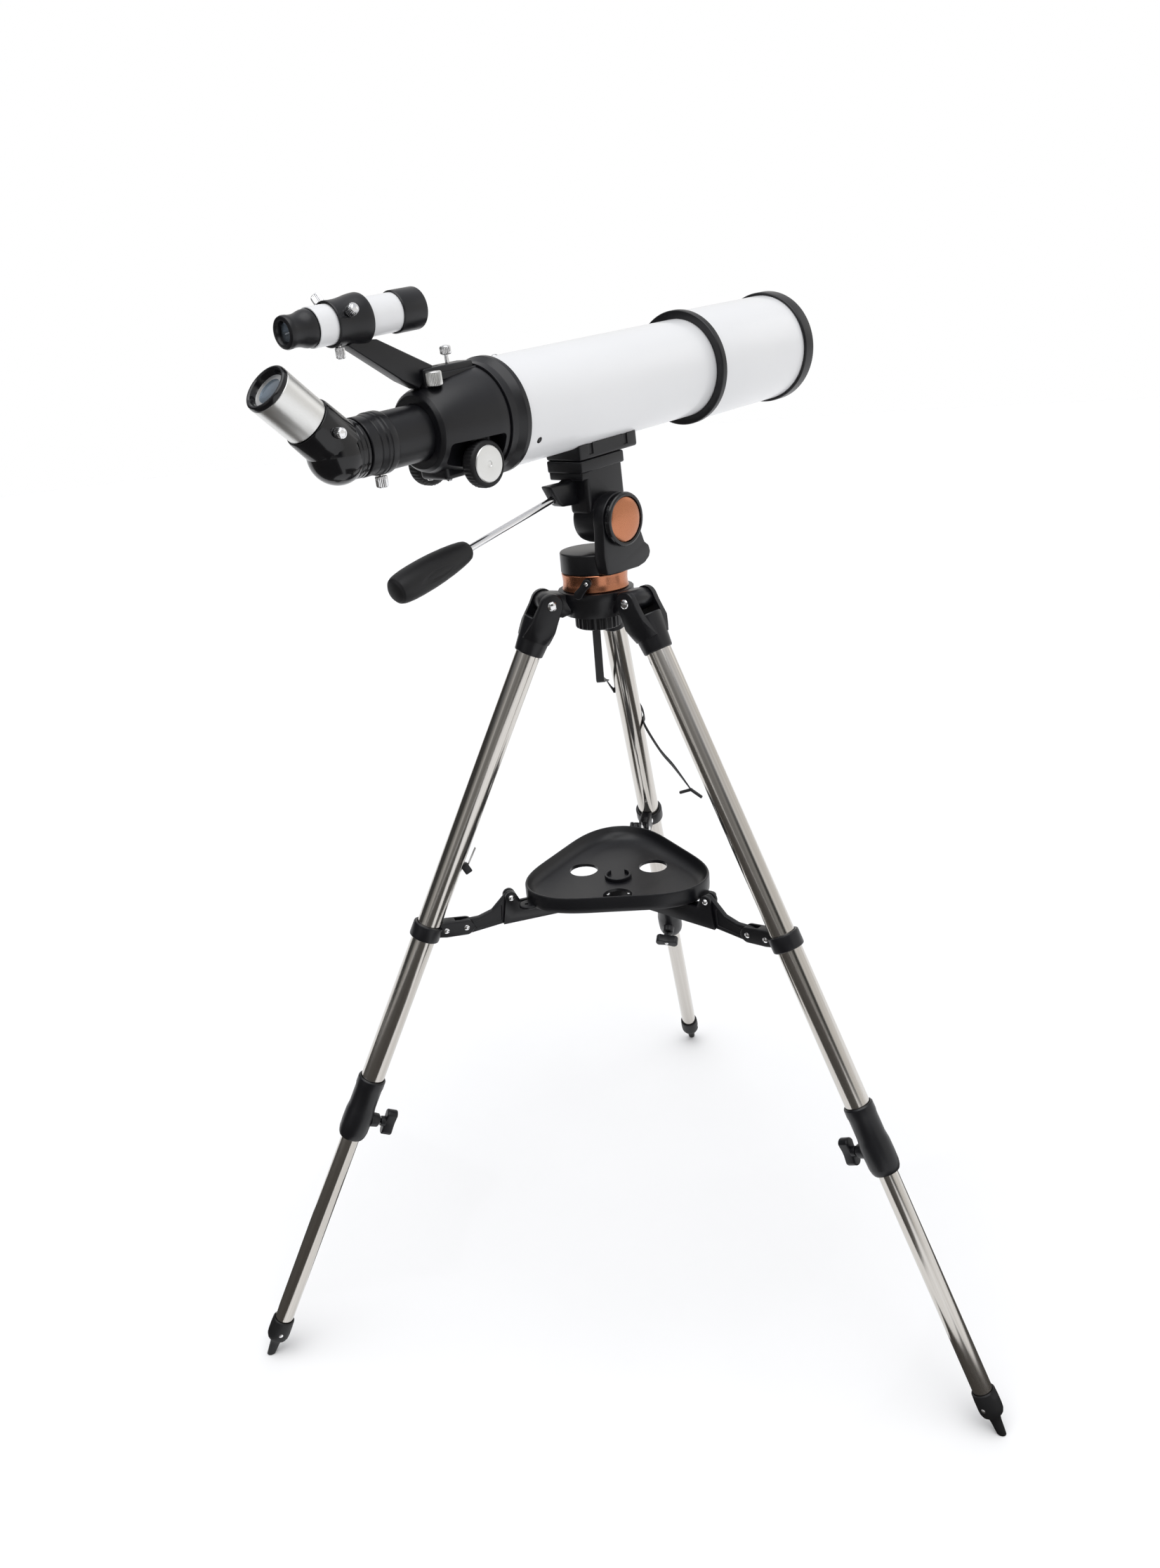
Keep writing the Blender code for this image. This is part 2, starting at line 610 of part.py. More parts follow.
def optical_tube():
    along([(TUBE_R, 0.1580), (TUBE_R, -0.1040), (TUBE_R - 0.0010, -0.1040),
           (TUBE_R - 0.0010, 0.1580)], "main_tube", white, ring=True)
    along([(0.0455, 0.1510), (0.0455, 0.1384), (0.0484, 0.1384), (0.0491, 0.1376),
           (0.0491, 0.1325), (0.0484, 0.1317), (0.0421, 0.1317), (0.0421, 0.1510)],
          "dew_shield_ring", plastic, ring=True)
    along([(SHIELD_R, 0.2700), (SHIELD_R, 0.1387), (SHIELD_R - 0.0010, 0.1387),
           (SHIELD_R - 0.0010, 0.2700)], "dew_shield", white, ring=True)
    along([(0.0490, 0.2768), (0.0500, 0.2758), (0.0500, 0.2641), (0.0490, 0.2631),
           (0.0476, 0.2631), (0.0476, 0.2703), (0.0455, 0.2703), (0.0455, 0.2768)],
          "front_ring", plastic, ring=True)
    along([(0, 0.1560), (0.0200, 0.1552), (0.0398, 0.1525), (0.0400, 0.1470), (0.0200, 0.1445),
           (0, 0.1440)], "objective_lens", glass)
    along([(0.0399, -0.0920), (0.0399, -0.1043), (0.0441, -0.1043), (0.0441, -0.1100),
           (0.0420, -0.1135), (0.0405, -0.1150), (0.0405, -0.1220), (0.0240, -0.1220),
           (0.0340, -0.0920)], "rear_collar", plastic, ring=True)


BODY_PROFILE = [(0.0388, -0.1223), (0.0384, -0.1320), (0.0360, -0.1500), (0.0330, -0.1640),
                (0.0303, -0.1745), (0.0288, -0.1785), (0.0262, -0.1812)]


BACK_SCREW_X = -0.2205


def focuser():
    body = turned(tube, [(0, -0.1223)] + BODY_PROFILE + [(0, -0.1812)], turn=ALONG_X,
                  sides=FINE_SIDES)
    housing = box(tube, (-0.1720, -0.0150, -0.0362), (-0.1300, 0.0150, -0.0225), 0.003)
    well = box(tube, (FOCUS_X - 0.0080, -0.0060, FOCUS_Z - 0.0075),
               (FOCUS_X + 0.0080, 0.0060, 0.0))
    shaft_hole = cone(tube, 0.0033, 0.0033, 0.10, at=(FOCUS_X, -0.05, FOCUS_Z), turn=ALONG_Y,
                      sides=COARSE_SIDES)
    for side in (-1, 1):
        low, high = sorted((side * 0.0190, side * 0.0450))
        minus(body, box(tube, (-0.1750, low, -0.0500), (-0.1270, high, -0.0090)))
    part(minus(union(body, housing), tube_cutter(0.0206, -0.19, -0.12), well, shaft_hole),
         "focuser_body", plastic)
    along([(0.0203, -0.1250), (0.0203, -0.2150), (0.0175, -0.2150), (0.0175, -0.1250)],
          "drawtube", plastic, ring=True)
    back = turned(tube, [
        (0.0212, -0.2153), (0.0220, -0.2163), (0.0220, -0.2250), (0.0210, -0.2260),
        (0.0208, -0.2390), (0.0162, -0.2390), (0.0162, -0.2153)], turn=ALONG_X,
        sides=FINE_SIDES, ring=True)
    hole = cone(tube, 0.0018, 0.0018, 0.010, at=(BACK_SCREW_X, 0, -0.0260),
                sides=COARSE_SIDES)
    part(minus(back, hole), "visual_back", plastic)


KNOB_FACE = [(0, 0.0370), (0.0135, 0.0370), (0.0140, 0.0364), (0.0155, 0.0364),
             (0.0173, 0.0350), (0.0176, 0.0330), (0.0176, 0.0270), (0.0160, 0.0245),
             (0.0070, 0.0205)]


def focus_drive():
    right = turned(tube, KNOB_FACE + [
        (0.0030, 0.0205), (0.0030, 0.0050), (0.0064, 0.0050), (0.0064, -0.0050),
        (0.0030, -0.0050), (0.0030, -0.0240), (0, -0.0240)],
        at=(FOCUS_X, 0, FOCUS_Z), turn=(pi / 2, 0, 0), sides=FINE_SIDES)
    part(right, "focus_knob_right", rubber)
    left = turned(tube, KNOB_FACE + [(0.0033, 0.0205), (0.0033, 0.0243), (0, 0.0243)],
                  at=(FOCUS_X, 0, FOCUS_Z), turn=ALONG_Y, sides=FINE_SIDES)
    part(left, "focus_knob_left", rubber)


def thumbscrew(name, parent, place, length, head_r, head_len, mat):
    """Stud from z = 0 down into the part, head from z = 0 up."""
    screw = turned(parent, [
        (0, head_len), (head_r - 0.0006, head_len), (head_r, head_len - 0.0006),
        (head_r, 0.0012), (head_r - 0.0010, 0.0), (0.0015, 0.0), (0.0015, -length),
        (0, -length)], sides=COARSE_SIDES)
    screw.matrix_basis = place
    return part(screw, name, mat)


EYE_AXIS = placed((DIAG_X, 0, 0), (0, -pi / 4, 0))


def diagonal():
    body = turned(tube, [
        (0, -0.2190), (0.0158, -0.2190), (0.0158, -0.2393), (0.0196, -0.2393),
        (0.0202, -0.2400), (0.0202, -0.2500), (0, -0.2500)], turn=ALONG_X, sides=FINE_SIDES)
    bm = bmesh.new()
    bmesh.ops.create_uvsphere(bm, u_segments=24, v_segments=12, radius=0.0207)
    elbow = thing(mesh_from(bm), tube, (-0.2550, 0, -0.0012))
    holder = cone(tube, 0.0195, 0.0188, 0.0300)
    holder.matrix_basis = EYE_AXIS @ placed((0, 0, 0.0040))
    bore = cone(tube, 0.0162, 0.0162, 0.040, sides=SIDES)
    bore.matrix_basis = EYE_AXIS @ placed((0, 0, 0.0080))
    light_path = cone(tube, 0.0130, 0.0130, 0.040, at=(-0.2420, 0, 0), turn=ALONG_X)
    hole = cone(tube, 0.0017, 0.0017, 0.010, sides=COARSE_SIDES)
    hole.matrix_basis = DIAG_SCREW @ placed((0, 0, -0.0045))
    part(minus(union(elbow, body, holder), bore, light_path, hole), "diagonal", gloss)


DIAG_SCREW = EYE_AXIS @ placed((0, 0, 0.0235)) @ placed((0, 0, 0), (radians(95), 0, 0)) @ \
    placed((0, 0, 0.0192))


def eyepiece():
    body = turned(tube, [
        (0, 0.0650), (0.0095, 0.0656), (0.0125, 0.0700), (0.0142, 0.0723), (0.0160, 0.0723),
        (0.0171, 0.0710), (0.0173, 0.0675), (0.0174, 0.0660), (0.0174, 0.0343),
        (0.0158, 0.0343), (0.0158, 0.0120), (0, 0.0120)], sides=FINE_SIDES)
    body.matrix_basis = EYE_AXIS.copy()
    part(body, "eyepiece", satin)


# ---------------------------------------------------------------- finder
def finder():
    """The finder points up by FINDER_TILT, as its three screws hold it in the ring."""
    axis = placed((FINDER_X, 0, FINDER_Z), (0, pi / 2 - FINDER_TILT, 0))

    def on_axis(profile, ring=False):
        item = turned(tube, profile, ring=ring)
        item.matrix_basis = axis
        return item

    part(on_axis([(0.0132, 0.0645), (0.0132, -0.0280), (0.0118, -0.0280), (0.0118, 0.0645)],
                 True), "finder_tube", white)
    part(on_axis([(0.0138, 0.0660), (0.0145, 0.0650), (0.0145, 0.0450), (0.0138, 0.0440),
                  (0.0135, 0.0440), (0.0135, 0.0648), (0.0120, 0.0648), (0.0120, 0.0660)],
                 True), "finder_hood", plastic)
    part(on_axis([
        (0, -0.0180), (0.0115, -0.0180), (0.0115, -0.0283), (0.0122, -0.0283),
        (0.0122, -0.0330), (0.0098, -0.0385), (0.0096, -0.0425), (0.0108, -0.0462),
        (0.0108, -0.0490), (0.0100, -0.0500), (0.0072, -0.0500), (0.0060, -0.0450),
        (0, -0.0450)]), "finder_eyepiece", plastic)
    ring = on_axis([(0.0168, 0.0150), (0.0171, 0.0140), (0.0166, 0.0070), (0.0151, -0.0030),
                    (0.0153, -0.0125), (0.0138, -0.0130), (0.0138, 0.0150)], True)
    arm = plate(tube, [(-0.1630, 0.0440), (-0.1790, 0.0310), (-0.1900, 0.0375),
                       (-0.2330, 0.0690), (-0.2180, 0.0740), (-0.2070, 0.0690)], -0.0058, 0.0058,
                turn=(pi / 2, 0, 0))
    shoe = box(tube, (-0.1725, -0.0085, 0.0290), (-0.1235, 0.0085, 0.0430), 0.0015)
    bore = cone(tube, 0.0138, 0.0138, 0.10)
    bore.matrix_basis = axis @ placed((0, 0, -0.05))
    clear = turned(tube, [(0, -0.1200), (0.0391, -0.1200)] +
                   [(radius + GAP, x) for radius, x in BODY_PROFILE[1:5]] +
                   [(0.0306, -0.1900), (0, -0.1900)], turn=ALONG_X, sides=FINE_SIDES)
    part(minus(union(ring, arm, shoe), bore, clear), "finder_bracket", plastic)


# ---------------------------------------------------------------- leg tie strap
STRAP_WIDTH = 0.0072
STRAP_THICK = 0.0012
STRAP_HOOK = (0.1358, 0.0138, 0.4720)
ACROSS = (0.69, -0.72, 0.0)
LEG_1_DOWN = (sin(SPLAY) * cos(LEG_AZIMUTHS[0]), sin(SPLAY) * sin(LEG_AZIMUTHS[0]),
              -cos(SPLAY))


def beside_leg(azimuth, along_leg, angle, radius):
    """A point beside a leg: angle 0 is its outer side, +90 its anticlockwise side."""
    local = Vector((radius * cos(radians(angle)), radius * sin(radians(angle)), -along_leg))
    place = placed((HIP_RADIUS * cos(azimuth), HIP_RADIUS * sin(azimuth), HIP_Z),
                   (0, -SPLAY, azimuth))
    return place @ local


def strap_stations():
    """Centre and width direction of the strap: down from the knob, round leg 1, and out."""
    stations = [((-0.0017, 0.0018, z), ACROSS) for z in (0.6770, 0.6540, 0.6330, 0.6275)]
    stations += [((0.0022, 0.0045, 0.6245), ACROSS), ((0.0110, 0.0105, 0.6222), ACROSS),
                 ((0.0400, 0.0330, 0.6125), (0.75, -0.60, -0.30)),
                 ((0.0660, 0.0560, 0.6020), (0.55, -0.20, -0.80))]
    for step in range(9):
        point = beside_leg(LEG_AZIMUTHS[0], 0.1290 + 0.0062 * step, 105 - 26 * step, 0.0128)
        stations.append((point, LEG_1_DOWN))
    stations += [((0.1211, 0.0393, 0.5150), (0.42, 0.10, -0.90)),
                 ((0.1278, 0.0277, 0.4970), (0.45, 0.30, -0.75)),
                 (STRAP_HOOK, (0.60, 0.50, -0.30))]
    return stations


def strap():
    """A moulded leg tie: a flat band with a toggle on its free end."""
    bm = bmesh.new()
    rows = []
    for centre, across in strap_stations():
        half = Vector(across).normalized() * STRAP_WIDTH / 2
        rows.append([bm.verts.new(Vector(centre) - half), bm.verts.new(Vector(centre) + half)])
    for low, high in zip(rows, rows[1:]):
        bm.faces.new((low[0], low[1], high[1], high[0]))
    band = thing(mesh_from(bm), stand)
    skin = band.modifiers.new("thickness", "SOLIDIFY")
    skin.thickness = STRAP_THICK
    skin.offset = 0
    x, y, z = STRAP_HOOK
    barb = box(stand, (x - 0.0125, y - 0.0016, z - 0.0016), (x + 0.0015, y + 0.0016, z + 0.0016),
               0.0006, (0, radians(-16), radians(-60)), STRAP_HOOK)
    tip = box(stand, (x - 0.0015, y - 0.0016, z - 0.0016), (x + 0.0140, y + 0.0016, z + 0.0016),
              0.0006, (0, radians(38), radians(-60)), STRAP_HOOK)
    return part(union(band, barb, tip), "leg_strap", webbing)


def build():
    hub()
    azimuth_ring()
    azimuth_lock_screw()
    centre_knob()
    for number, azimuth in enumerate(LEG_AZIMUTHS, 1):
        leg_parts(number, azimuth)
        spreader_link(number, azimuth)
    spreader_bracket()
    tray()
    turntable()
    altitude_head()
    altitude_knob()
    altitude_cap()
    pan_handle()
    tube_saddle()
    optical_tube()
    focuser()
    focus_drive()
    thumbscrew("visual_back_screw", tube, placed((BACK_SCREW_X, 0, -0.0223), (pi, 0, 0)),
               0.0040, 0.0042, 0.0085, chrome)
    diagonal()
    thumbscrew("diagonal_screw", tube, DIAG_SCREW @ placed((0, 0, 0.0003)), 0.0030, 0.0036,
               0.0060, chrome)
    eyepiece()
    finder()
    strap()


build()
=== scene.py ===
"""Looks of the white refractor telescope on a steel tripod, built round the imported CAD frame."""
from math import atan2, cos, hypot, pi, radians, sin, tan

import bmesh
import bpy
from mathutils import Matrix, Vector


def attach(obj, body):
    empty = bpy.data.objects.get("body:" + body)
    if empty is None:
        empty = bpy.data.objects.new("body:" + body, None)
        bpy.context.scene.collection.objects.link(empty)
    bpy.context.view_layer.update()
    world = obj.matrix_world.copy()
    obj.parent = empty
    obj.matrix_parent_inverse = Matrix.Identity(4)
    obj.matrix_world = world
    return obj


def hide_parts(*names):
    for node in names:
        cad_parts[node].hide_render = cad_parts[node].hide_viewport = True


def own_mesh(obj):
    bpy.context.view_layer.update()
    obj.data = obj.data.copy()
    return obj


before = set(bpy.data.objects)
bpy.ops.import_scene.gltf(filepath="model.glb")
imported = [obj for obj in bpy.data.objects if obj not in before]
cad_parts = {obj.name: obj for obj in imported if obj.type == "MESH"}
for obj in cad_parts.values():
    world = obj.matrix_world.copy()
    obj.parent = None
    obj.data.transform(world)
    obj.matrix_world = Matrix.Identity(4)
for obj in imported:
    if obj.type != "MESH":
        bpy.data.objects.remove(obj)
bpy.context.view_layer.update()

AXIS_Y = 0.0989
LEG_AZIMUTHS = (radians(30), radians(150), radians(270))
HIP_RADIUS, HIP_Z, SPLAY = 0.0454, 0.7042, radians(26.6)
LEG_LENGTH = HIP_Z / cos(SPLAY)
FOOT_TOP = LEG_LENGTH - 0.042
LOCK_TOP, LOCK_END, SCREW_S = 0.472, 0.5355, 0.516
UPPER_R, UPPER_BORE, UPPER_TOP, UPPER_END = 0.011, 0.0098, 0.0267, 0.528
LOWER_R, LOWER_BORE, LOWER_TOP = 0.0088, 0.0077, 0.33
LEG_HOLE = UPPER_R + 0.00035
COLLAR_S = 0.3172
ARM_PIVOT, KNUCKLE = (0.151, 0.417), (0.1065, 0.437)
BRACKET_LOW, LINK_HALF, CHEEK_IN, CHEEK_OUT = 0.411, 0.0024, 0.003, 0.0056
TRAY_FLOOR, TRAY_TURN = 0.4308, radians(9.4)
DISC_BOTTOM, DISC_TOP, DISC_R, ALT_Z = 0.7278, 0.745, 0.029, 0.772
ARM_OUT, ARM_IN = -0.0335, -0.0223
TUBE_Z, TUBE_TILT, TUBE_R, SHIELD_R = 0.8738, radians(3.13), 0.0418, 0.0473
FOCUS_X, FOCUS_Z, DIAG_X = -0.148, -0.028, -0.2507
FINDER_X, FINDER_Z, FINDER_TILT = -0.23, 0.0823, radians(1.3)


# ---- finishes
def shader_node(nodes, kind, **values):
    """A new node with some inputs set, an underscore standing for a space."""
    node = nodes.new("ShaderNode" + kind)
    for name, value in values.items():
        node.inputs[name.replace("_", " ")].default_value = value
    return node


FINISHES = {}


def finish(name, colour, roughness, metallic=0.0, grain=1400, vary=0.05, bump=0.0, second=None,
           stretch=(1, 1, 1), coat=0.0, mottle=9.0, specular=0.5):
    """A finish with fine noise in its roughness and height and a broad tone change, by name."""
    mat = bpy.data.materials.new(name)
    mat.use_nodes = True
    nodes, links = mat.node_tree.nodes, mat.node_tree.links
    shader = nodes["Principled BSDF"]
    shader.inputs["Metallic"].default_value = metallic
    shader.inputs["Coat Weight"].default_value = coat
    shader.inputs["Coat Roughness"].default_value = 0.06
    shader.inputs["Specular IOR Level"].default_value = specular
    where = shader_node(nodes, "TexCoord")
    scale = shader_node(nodes, "Mapping", Scale=stretch)
    links.new(where.outputs["Object"], scale.inputs["Vector"])
    fine = shader_node(nodes, "TexNoise", Scale=grain, Detail=3)
    links.new(scale.outputs["Vector"], fine.inputs["Vector"])
    spread = shader_node(nodes, "MapRange", To_Min=max(0.02, roughness - vary),
                         To_Max=roughness + vary)
    links.new(fine.outputs["Fac"], spread.inputs["Value"])
    links.new(spread.outputs["Result"], shader.inputs["Roughness"])
    broad = shader_node(nodes, "TexNoise", Scale=mottle, Detail=2)
    links.new(scale.outputs["Vector"], broad.inputs["Vector"])
    ramp = shader_node(nodes, "ValToRGB")
    low, high = ramp.color_ramp.elements
    low.position, low.color = 0.35, (*colour, 1)
    high.position, high.color = 0.65, (*(second or [c * 0.93 for c in colour]), 1)
    links.new(broad.outputs["Fac"], ramp.inputs["Fac"])
    links.new(ramp.outputs["Color"], shader.inputs["Base Color"])
    if bump:
        height = shader_node(nodes, "Bump", Strength=bump, Distance=0.0003)
        links.new(fine.outputs["Fac"], height.inputs["Height"])
        links.new(height.outputs["Normal"], shader.inputs["Normal"])
    FINISHES[name] = mat
    return mat


finish("white_tube", (0.77, 0.775, 0.785), 0.34, vary=0.03, coat=0.3, second=(0.785, 0.79, 0.8))
finish("black_plastic", (0.0056, 0.0057, 0.0074), 0.34, grain=2600, bump=0.12,
       second=(0.0042, 0.0042, 0.0058), specular=0.42)
finish("black_gloss", (0.005, 0.005, 0.006), 0.17, vary=0.03, coat=0.25, specular=0.35)
finish("black_rubber", (0.0085, 0.0085, 0.0095), 0.5, grain=3200, bump=0.3,
       second=(0.0065, 0.0065, 0.007), specular=0.35)
finish("stainless_steel", (0.66, 0.635, 0.6), 0.15, 1.0, grain=1, stretch=(900, 900, 6), vary=0.05,
       second=(0.57, 0.54, 0.5), mottle=0.5)
finish("chrome", (0.86, 0.86, 0.87), 0.14, 1.0, vary=0.03)
finish("satin_aluminium", (0.8, 0.8, 0.79), 0.33, 1.0, grain=1, stretch=(1500, 1500, 60),
       vary=0.06, second=(0.74, 0.74, 0.72))
finish("copper_trim", (0.5, 0.205, 0.115), 0.27, 1.0, vary=0.05, second=(0.52, 0.21, 0.11))
finish("black_strap", (0.024, 0.024, 0.026), 0.5, grain=1800, bump=0.2)
INSIDE = finish("matt_lining", (0.006, 0.006, 0.007), 0.85)
BLACK = "black_plastic"


def glass_finish(name, tint, coating):
    shader = finish(name, tint, 0.05, vary=0.01).node_tree.nodes["Principled BSDF"]
    shader.inputs["Transmission Weight"].default_value = 0.85
    shader.inputs["IOR"].default_value = 1.52
    shader.inputs["Coat Weight"].default_value = 0.9
    shader.inputs["Coat Tint"].default_value = (*coating, 1)


glass_finish("coated_glass", (0.42, 0.45, 0.47), (0.85, 0.92, 1.0))


# ---- shapes
def placed(at=(0, 0, 0), turn=(0, 0, 0)):
    return Matrix.Translation(at) @ Matrix.Rotation(turn[2], 4, "Z") @ \
        Matrix.Rotation(turn[1], 4, "Y") @ Matrix.Rotation(turn[0], 4, "X")


CORNER_STEPS = 4
STAND = placed((0, AXIS_Y, 0))
TUBE = STAND @ placed((0, 0, TUBE_Z), (0, -TUBE_TILT, 0))
TO_X = placed(turn=(0, pi / 2, 0))
TO_Y = placed(turn=(-pi / 2, 0, 0))
FLAT_Y = placed(turn=(pi / 2, 0, 0))


def to_object(bm, name, place, angle=38):
    bmesh.ops.recalc_face_normals(bm, faces=bm.faces[:])
    mesh = bpy.data.meshes.new(name)
    bm.to_mesh(mesh)
    bm.free()
    mesh.shade_smooth()
    mesh.set_sharp_from_angle(angle=radians(angle))
    item = bpy.data.objects.new(name, mesh)
    bpy.context.scene.collection.objects.link(item)
    item.matrix_world = place
    return item


def rounded(points, radius, closed=True):
    """Rounds every corner of an outline as far as its sides leave room."""
    out = []
    for i, point in enumerate(points):
        p = Vector(point)
        if not closed and i in (0, len(points) - 1):
            out.append(p)
            continue
        back, on = Vector(points[i - 1]) - p, Vector(points[(i + 1) % len(points)]) - p
        corner = back.angle(on)
        if corner > radians(160) or radius <= 0:
            out.append(p)
            continue
        cut = min(radius / tan(corner / 2), back.length * 0.45, on.length * 0.45)
        start, end = p + back.normalized() * cut, p + on.normalized() * cut
        for step in range(CORNER_STEPS + 1):
            t = step / CORNER_STEPS
            out.append(start * (1 - t) ** 2 + p * 2 * t * (1 - t) + end * t * t)
    return out


def lathe(name, profile, place, ring=False, fillet=0.0004, sides=96, wave=None):
    """Turns (radius, height) points about the place's +Z; wave changes the radius by angle."""
    bm = bmesh.new()
    rows = []
    for r, h in rounded(profile, fillet, closed=ring):
        if r < 1e-6:
            rows.append([bm.verts.new((0, 0, h))])
            continue
        row = []
        for i in range(sides):
            a = 2 * pi * i / sides
            s = r + (wave(a, h) if wave else 0)
            row.append(bm.verts.new((s * cos(a), s * sin(a), h)))
        rows.append(row)
    for a, b in list(zip(rows, rows[1:])) + ([(rows[-1], rows[0])] if ring else []):
        for i in range(sides):
            j = (i + 1) % sides
            if len(a) == 1 and len(b) == 1:
                break
            if len(a) == 1:
                bm.faces.new((a[0], b[j], b[i]))
            elif len(b) == 1:
                bm.faces.new((a[i], a[j], b[0]))
            else:
                bm.faces.new((a[i], a[j], b[j], b[i]))
    return to_object(bm, name, place)


def prism(name, outline, low, high, place, bevel=0.0008, segments=3):
    bm = bmesh.new()
    face = bm.faces.new([bm.verts.new((x, y, low)) for x, y in outline])
    grown = bmesh.ops.extrude_face_region(bm, geom=[face])
    top = [v for v in grown["geom"] if isinstance(v, bmesh.types.BMVert)]
    bmesh.ops.translate(bm, vec=(0, 0, high - low), verts=top)
    return softened(bm, name, place, bevel, segments)


def softened(bm, name, place, bevel, segments=3):
    bmesh.ops.recalc_face_normals(bm, faces=bm.faces[:])
    if bevel:
        sharp = [e for e in bm.edges if len(e.link_faces) == 2
                 and e.calc_face_angle(0) > radians(24)]
        bmesh.ops.bevel(bm, geom=sharp, offset=bevel, segments=segments, profile=0.5,
                        affect="EDGES", clamp_overlap=True)
    return to_object(bm, name, place)


def block(name, low, high, place, bevel=0.001, segments=3):
    bm = bmesh.new()
    bmesh.ops.create_cube(bm, size=1)
    size = [b - a for a, b in zip(low, high)]
    bmesh.ops.scale(bm, vec=size, verts=bm.verts[:])
    bmesh.ops.translate(bm, vec=[(a + b) / 2 for a, b in zip(low, high)], verts=bm.verts[:])
    return softened(bm, name, place, bevel, segments)


def ball(name, radius, place, stretch=(1, 1, 1)):
    bm = bmesh.new()
    bmesh.ops.create_uvsphere(bm, u_segments=64, v_segments=32, radius=radius)
    bmesh.ops.scale(bm, vec=stretch, verts=bm.verts[:])
    return to_object(bm, name, place)


def pipe(outer, inner, start, end):
    """Profile of a plain ring between two heights, for a closed lathe."""
    return [(outer, start), (outer, end), (inner, end), (inner, start)]


def rod(radius, low, high, place, sides=64):
    return lathe("cut", [(0, low), (radius, low), (radius, high), (0, high)], place,
                 fillet=0, sides=sides)


def boolean(item, others, operation):
    """Applies exact booleans to item and removes the other shapes."""
    for other in others:
        step = item.modifiers.new("cut", "BOOLEAN")
        step.operation, step.solver, step.object = operation, "EXACT", other
    bpy.context.view_layer.update()
    mesh = bpy.data.meshes.new_from_object(item.evaluated_get(
        bpy.context.evaluated_depsgraph_get()))
    item.modifiers.clear()
    item.data = mesh
    mesh.shade_smooth()
    mesh.set_sharp_from_angle(angle=radians(38))
    for other in others:
        bpy.data.objects.remove(other, do_unlink=True)
    return item


def cut(item, *others):
    return boolean(item, others, "DIFFERENCE")


def union(item, *others):
    return boolean(item, others, "UNION")


def fine_edges(item, width=0.0005, angle=30):
    """A small live bevel for a piece made with booleans."""
    weld = item.modifiers.new("weld", "WELD")
    weld.merge_threshold = 0.00001
    edge = item.modifiers.new("edge", "BEVEL")
    edge.width, edge.segments, edge.limit_method = width, 2, "ANGLE"
    edge.angle_limit = radians(angle)
    edge.miter_outer = "MITER_ARC"
    edge.harden_normals = True
    return item


def piece(item, body, slot, *nodes, mat=None):
    item.data.materials.clear()
    item.data.materials.append(mat or FINISHES[slot])
    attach(item, body)
    if nodes:
        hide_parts(*nodes)
    return item


def keep(node, slot, width):
    """Shows a CAD node itself, with its finish and softened edges."""
    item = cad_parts[node]
    item.data.materials.clear()
    item.data.materials.append(FINISHES[slot])
    item.data.shade_smooth()
    fine_edges(item, width, 32)
    return item


def arc(cx, cy, radius, start, end, steps):
    return [(cx + radius * cos(radians(start + (end - start) * i / steps)),
             cy + radius * sin(radians(start + (end - start) * i / steps)))
            for i in range(steps + 1)]


def knurled(name, radius, low, high, place, ribs, depth):
    """A knob with straight knurling, its ends rounded over."""
    lip = 0.0004

    def ripple(angle, height):
        inside = low + lip * 1.5 < height < high - lip * 1.5
        return depth * cos(ribs * angle) / 2 if inside else 0.0
    profile = [(0, low), (radius - lip, low), (radius - lip * 0.3, low + lip)]
    profile += [(radius, low + lip * 2 + (high - low - lip * 4) * k / 3) for k in range(4)]
    profile += [(radius - lip * 0.3, high - lip), (radius - lip, high), (0, high)]
    return lathe(name, profile, place, fillet=0, sides=ribs * 8, wave=ripple)


def joined(item, *others):
    """One piece of several closed shells, kept in item's own coordinates."""
    bm = bmesh.new()
    bm.from_mesh(item.data)
    for other in others:
        mesh = other.data
        mesh.transform(item.matrix_world.inverted() @ other.matrix_world)
        bm.from_mesh(mesh)
        bpy.data.objects.remove(other, do_unlink=True)
    bm.to_mesh(item.data)
    bm.free()
    item.data.set_sharp_from_angle(angle=radians(38))
    return item


def thumbscrew(name, place, radius, length, stud, body, *nodes, slot="chrome", low=0.0002):
    """Knurled head from z = low up, with a domed end and a stud reaching down."""
    head = knurled(name, radius, low, length, place, ribs=20, depth=0.0005)
    dome = lathe("dome", [(0, length + 0.0006), (radius * 0.5, length + 0.0004),
            (radius * 0.8, length - 0.0003), (0, length - 0.0006)], place, fillet=0)
    shank = rod(0.0015, -stud, low + 0.001, place, sides=24)
    return piece(joined(head, dome, shank), body, slot, *nodes)


# ---- optical tube
def spun(name, profile, body, slot, *nodes, ring=True, fillet=0.0004, mat=None, wave=None):
    return piece(lathe(name, profile, TUBE @ TO_X, ring, fillet, 128, wave), body, slot, *nodes,
                 mat=mat)


